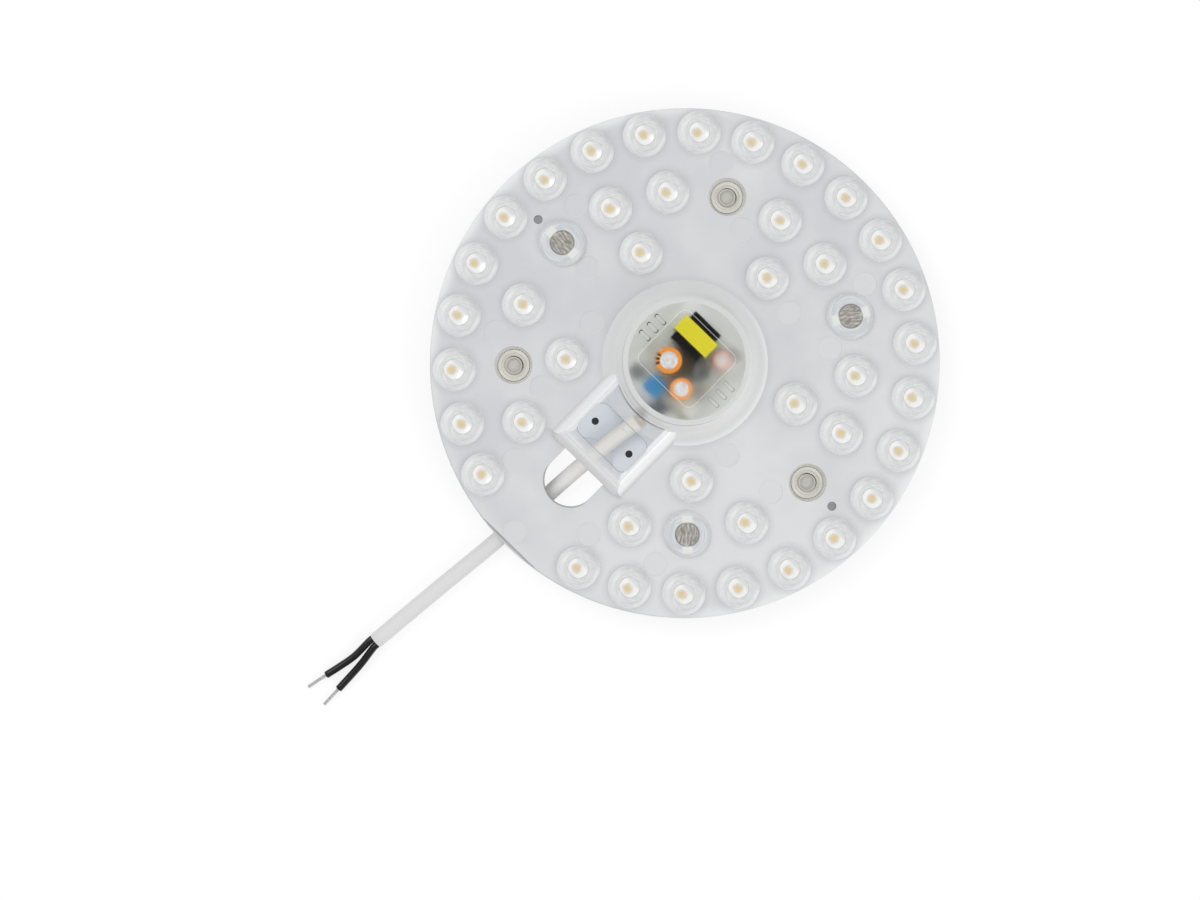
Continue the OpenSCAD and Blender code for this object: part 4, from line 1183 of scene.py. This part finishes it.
# %% Smooth lines
def through(points, steps=4):
    """More points on a smooth curve through the given ones."""
    smooth = []
    last = len(points) - 1
    for i in range(last):
        before, start, end, after = points[max(i - 1, 0)], points[i], points[i + 1], points[min(i + 2, last)]
        for k in range(steps):
            t = k / steps
            bend = 2 * before - 5 * start + 4 * end - after
            twist = 3 * start - before - 3 * end + after
            smooth.append(0.5 * (2 * start + (end - before) * t + bend * t ** 2 + twist * t ** 3))
    return smooth + [points[-1]]


UP = Vector((0.0, 0.0, 1.0))
sheath_points = [Vector((x * MM, y * MM, low_z + share * (high_z - low_z))) for x, y, share in sheath_path]
sheath_line = through(sheath_points)
sheath_way = (sheath_points[-1] - sheath_points[-2]).normalized()
sheath_side = UP.cross(sheath_way).normalized()


def core_line(side, bends):
    """A core's way: straight on from the sheath's end, then by its own bends."""
    start = sheath_points[-1] + side * (core_r + core_gap) * sheath_side
    return through([start, start + core_lead * sheath_way] + [Vector(p) * MM for p in bends])


core_a_line = core_line(-1.0, core_a_bends)
core_b_line = core_line(1.0, core_b_bends)
print("sheath points:", len(sheath_line), "core points:", len(core_a_line), len(core_b_line))


# %% Round tubes
end_round = 0.12


def tube_rows(points, radius):
    """The middle, the way and the radius of each ring of a tube with slightly rounded ends."""
    last = len(points) - 1
    round_r = end_round * radius
    first_way = (points[1] - points[0]).normalized()
    last_way = (points[last] - points[last - 1]).normalized()
    middles = list(points)
    middles[0] = points[0] + round_r * first_way
    middles[last] = points[last] - round_r * last_way
    rows = [(points[0], first_way, radius - round_r)]
    for i, middle in enumerate(middles):
        way = (points[min(i + 1, last)] - points[max(i - 1, 0)]).normalized()
        rows.append((middle, way, radius))
    return rows + [(points[last], last_way, radius - round_r)]


def smooth_sides(data):
    """Smooth shading on the four-cornered faces, and flat ends."""
    for polygon in data.polygons:
        polygon.use_smooth = len(polygon.vertices) == 4


def tube(name, points, radius, material, replaced, sides=24):
    """A closed round tube along some points, in place of a CAD tube."""
    rows = tube_rows(points, radius)
    verts = []
    faces = []
    for middle, way, row_r in rows:
        side = UP.cross(way).normalized()
        up = way.cross(side)
        for k in range(sides):
            a = 2.0 * math.pi * k / sides
            verts.append(middle + row_r * (math.cos(a) * side + math.sin(a) * up))
    for i in range(len(rows) - 1):
        for k in range(sides):
            a = i * sides + k
            b = i * sides + (k + 1) % sides
            faces.append((a, b, b + sides, a + sides))
    faces.append(tuple(reversed(range(sides))))
    faces.append(tuple(range((len(rows) - 1) * sides, len(rows) * sides)))
    data = bpy.data.meshes.new(name)
    data.from_pydata(verts, [], faces)
    smooth_sides(data)
    data.materials.append(material)
    return new_piece(name, data, replaced)


# %% [markdown]
# The sheath is soft white plastic, painted brighter in the slot, as painted light where the slot lets light
# under it, and warmer under the hood. The cores are glossy black outside. Inside the dome they are seen
# through the haze, so they are painted greyer there, as painted light of the haze. Blends along X, the way
# that the cable runs, and by the distance from the dome's middle carry these changes.

# %% Sheath and cores
sheath_white, tree, shader = new_material("white sheath")
length_way = split(tree, object_place(tree))["X"]
lit_in_slot = ramp(tree, length_way, -slot_end - 9.2 * MM, -slot_end - 1.2 * MM)
under_hood = ramp(tree, length_way, -hood_end - 9.3 * MM, -hood_end + 2.7 * MM)
# painted light: the sheath is brighter where it lies in the slot
sheath_colour = blend(tree, rgb(223, 223, 223), rgb(245, 244, 242), lit_in_slot)
sheath_colour = blend(tree, sheath_colour, rgb(224, 222, 218), under_hood)
finish_surface(tree, shader, sheath_colour, 0.5, amount=0.04, scale=700.0, bump=0.01 * MM)
black_core = plain("black insulation", rgb(14, 14, 15), 0.28, amount=0.15, scale=1500.0)
sheath = tube("sheath", sheath_line, sheath_r, sheath_white, "cable_sheath", sides=32)
core_a = tube("core_a", core_a_line, core_r, black_core, "outer_core_a")
core_b = tube("core_b", core_b_line, core_r, black_core, "outer_core_b")

# %% Inner cores
inner_black_hazed, tree, shader = new_material("inner insulation")
from_middle = from_axis(tree, object_place(tree))
in_dome = ramp(tree, from_middle, dome_top_r + 1.4 * MM, dome_top_r - 0.6 * MM)
# painted light: greyer inside the dome, for the haze of the window over the cores
tone = blend(tree, rgb(46, 47, 60), rgb(98, 104, 116), in_dome)
finish_surface(tree, shader, tone, 0.4, amount=0.15, scale=1500.0)
paint("inner_core_a", inner_black_hazed)
paint("inner_core_b", inner_black_hazed)

# %% [markdown]
# ### Tinned ends
#
# The bare ends are bundles of fine strands, twisted and tinned. Geometry Nodes sweep a ring of small
# circles along each end and turn it on the way, which twists the strands about each other.

# %% Geometry Nodes for twisted strands
strands, given, result = geometry_group("Twisted strands", [
    ("Strands", "Int", 6), ("Strand Radius", "Float", 0.22 * MM), ("Bundle Radius", "Float", 0.42 * MM),
    ("Turns", "Float", 1.6), ("Metal", "Material", None),
])
line = node(strands, "GeometryNodeMeshToCurve", {"Mesh": given["Geometry"]}).outputs[0]
line = node(strands, "GeometryNodeResampleCurve", {"Curve": line, "Count": 28}).outputs[0]
share = node(strands, "GeometryNodeSplineParameter").outputs["Factor"]
twist = product(strands, share, given["Turns"], 2.0 * math.pi)
line = node(strands, "GeometryNodeSetCurveTilt", {"Curve": line, "Tilt": twist}).outputs[0]
wire = node(strands, "GeometryNodeCurvePrimitiveCircle", {"Resolution": 8, "Radius": given["Strand Radius"]})
wire = wire.outputs["Curve"]
seats = node(strands, "GeometryNodeMeshCircle", {
    "Vertices": given["Strands"], "Radius": given["Bundle Radius"]}).outputs["Mesh"]
bundle = node(strands, "GeometryNodeInstanceOnPoints", {"Points": seats, "Instance": wire}).outputs[0]
profile = realized(strands, together(strands, bundle, wire))
swept = node(strands, "GeometryNodeCurveToMesh", {"Curve": line, "Profile Curve": profile, "Fill Caps": True})
swept = realized(strands, swept.outputs[0])
give(strands, result["Geometry"], with_material(strands, swept, given["Metal"]))

# %% Make the tinned ends
tip_overlap = 0.5 * MM
tip_straight = 2.0 * MM
tinned = plain(
    "tinned copper", rgb(216, 216, 218), 0.34, amount=0.3, scale=2500.0, values={"Metallic": 0.5})


def twisted_tip(name, line, end, replaced):
    """A bundle of strands, straight on from a core's last point and then to its end."""
    way = (line[-1] - line[-2]).normalized()
    points = [line[-1] - tip_overlap * way, line[-1] + tip_straight * way, end]
    data = bpy.data.meshes.new(name)
    data.from_pydata(points, [(0, 1), (1, 2)], [])
    piece = made_by_nodes(name, data, strands, {"Metal": tinned}, replaced)
    smooth_sides(piece.data)
    return piece


tip_a = twisted_tip("tip_a", core_a_line, tip_a_end, "tinned_tip_a")
tip_b = twisted_tip("tip_b", core_b_line, tip_b_end, "tinned_tip_b")

# %% [markdown]
# ## Studio
#
# The floor lies at the magnets' faces. For the camera, mirrors and glass it glows most of the way to
# white, so the background is white and the module's shadow on it stays soft and light. Under the module
# it only glows below the cable slot, more dimly and bluish below the hood as painted shade, and a little
# below the screw holes as painted light, so the other holes stay dark. For light between surfaces it glows
# under the module instead, which lights the underside, and it is clear from below, so that a view from
# there shows the magnets.

# %% Where the floor glows
floor_glow = 0.78
slot_glow = 0.86
hood_glow = 0.46
screw_glow = 0.24
underside_glow = 0.4
floor_white, tree, shader = new_material("white floor")
place = object_place(tree)
xyz = split(tree, place)
open_floor = ramp(tree, from_axis(tree, place), cover_r - 8.0 * MM, cover_r - 1.0 * MM)
slot_long = band(tree, xyz["X"], -slot_end, -slot_start, 1.5 * MM)
slot_wide = band(tree, xyz["Y"], -slot_half_w, slot_half_w, 1.5 * MM)
under_slot = product(tree, slot_long, slot_wide)
under_hood = ramp(tree, xyz["X"], -hood_end + 2.7 * MM, -hood_end + 5.2 * MM)
# painted shade: a dimmer, bluish glow below the hood
slot_strength = math_node(tree, "MULTIPLY_ADD", under_hood, hood_glow - slot_glow, slot_glow)
glow = math_node(tree, "MULTIPLY_ADD", under_slot, slot_strength, product(tree, open_floor, floor_glow))
# painted light: a little glow below the screw holes
for point in screw_points:
    screw_away = from_axis(tree, vector_node(tree, "SUBTRACT", place, tuple(point)))
    glow = math_node(tree, "MULTIPLY_ADD", ramp(tree, screw_away, 5.0 * MM, 3.0 * MM), screw_glow, glow)
glow_colour = blend(tree, (1.0, 1.0, 1.0, 1.0), (0.92, 0.97, 1.04, 1.0), under_hood, under_slot)
tree.links.new(glow_colour, shader.inputs["Emission Color"])

# %% What sees the glow
path = node(tree, "ShaderNodeLightPath").outputs
by_camera = math_node(tree, "MAXIMUM", path["Is Camera Ray"], path["Is Transmission Ray"])
seen = math_node(tree, "MAXIMUM", by_camera, path["Is Glossy Ray"])
floor_colour = blend(tree, rgb(244, 244, 244), (0.24, 0.24, 0.24, 1.0), seen)
tree.links.new(floor_colour, shader.inputs["Base Color"])
set_values(shader, {"Roughness": 0.9, "Specular IOR Level": 0.0})
by_slot = product(
    tree, band(tree, xyz["X"], -slot_end, access_half_l - access_x, 2.0 * MM),
    band(tree, xyz["Y"], -access_half_w, access_half_w, 2.0 * MM))
elsewhere = math_node(tree, "MAXIMUM", math_node(tree, "MAXIMUM", open_floor, by_slot), by_camera)
to_underside = math_node(tree, "MULTIPLY_ADD", elsewhere, -underside_glow, underside_glow)
strength = math_node(tree, "MAXIMUM", product(tree, seen, glow), to_underside)
tree.links.new(strength, shader.inputs["Emission Strength"])
from_below = node(tree, "ShaderNodeNewGeometry").outputs["Backfacing"]
clear = node(tree, "ShaderNodeBsdfTransparent").outputs[0]
one_sided = node(tree, "ShaderNodeMixShader", {0: from_below, 1: shader.outputs[0], 2: clear}).outputs[0]
tree.links.new(one_sided, tree.nodes["Material Output"].inputs["Surface"])
print("floor glows:", floor_glow, "at the slot:", slot_glow, "at the hood:", hood_glow)

# %% Floor
floor_half = 4.0
floor_drop = 0.1 * MM
floor_corners = [(x * floor_half, y * floor_half, 0.0) for x, y in ((-1, -1), (1, -1), (1, 1), (-1, 1))]
floor_data = bpy.data.meshes.new("floor")
floor_data.from_pydata(floor_corners, [], [(0, 1, 2, 3)])
floor_data.materials.append(floor_white)
floor = bpy.data.objects.new("floor", floor_data)
floor.location.z = -floor_drop
bpy.context.scene.collection.objects.link(floor)
print("floor:", 2 * floor_half, "m wide")

# %% [markdown]
# An even sky gives most of the light, a large soft lamp from the upper left of the photograph gives
# shape, and a weaker one opposite brightens the slopes at the lower right. Mirrors and glass see a
# dimmer sky, like the dark room above a light tent, so that black parts stay black behind the window.

# %% Sky
sky_light = 0.71
sky_in_mirrors = 0.4
world = bpy.data.worlds.new("sky")
world.use_nodes = True
tree = world.node_tree
sky = tree.nodes["Background"]
sky.inputs["Color"].default_value = (1.0, 1.0, 1.0, 1.0)
path = node(tree, "ShaderNodeLightPath").outputs
in_mirrors = math_node(tree, "MAXIMUM", path["Is Glossy Ray"], path["Is Transmission Ray"])
sky_strength = math_node(tree, "MULTIPLY_ADD", path["Is Camera Ray"], 1.0 - sky_light, sky_light)
sky_strength = math_node(tree, "MULTIPLY_ADD", in_mirrors, sky_in_mirrors - sky_light, sky_strength)
tree.links.new(sky_strength, sky.inputs["Strength"])
bpy.context.scene.world = world
print("sky:", sky_light)


# %% Lamps
def soft_lamp(name, place, size, power):
    """A round soft lamp that shines on the module's middle."""
    data = bpy.data.lights.new(name, "AREA")
    data.shape = "DISK"
    data.size = size
    data.energy = power
    lamp = bpy.data.objects.new(name, data)
    lamp.location = place
    lamp.rotation_euler = (-lamp.location).to_track_quat("-Z", "Y").to_euler()
    bpy.context.scene.collection.objects.link(lamp)
    print(name, power, "W")


soft_lamp("main lamp", place=(-0.15, 0.75, 1.0), size=0.7, power=3.4)
soft_lamp("fill lamp", place=(0.1, -0.85, 0.7), size=0.6, power=2.4)
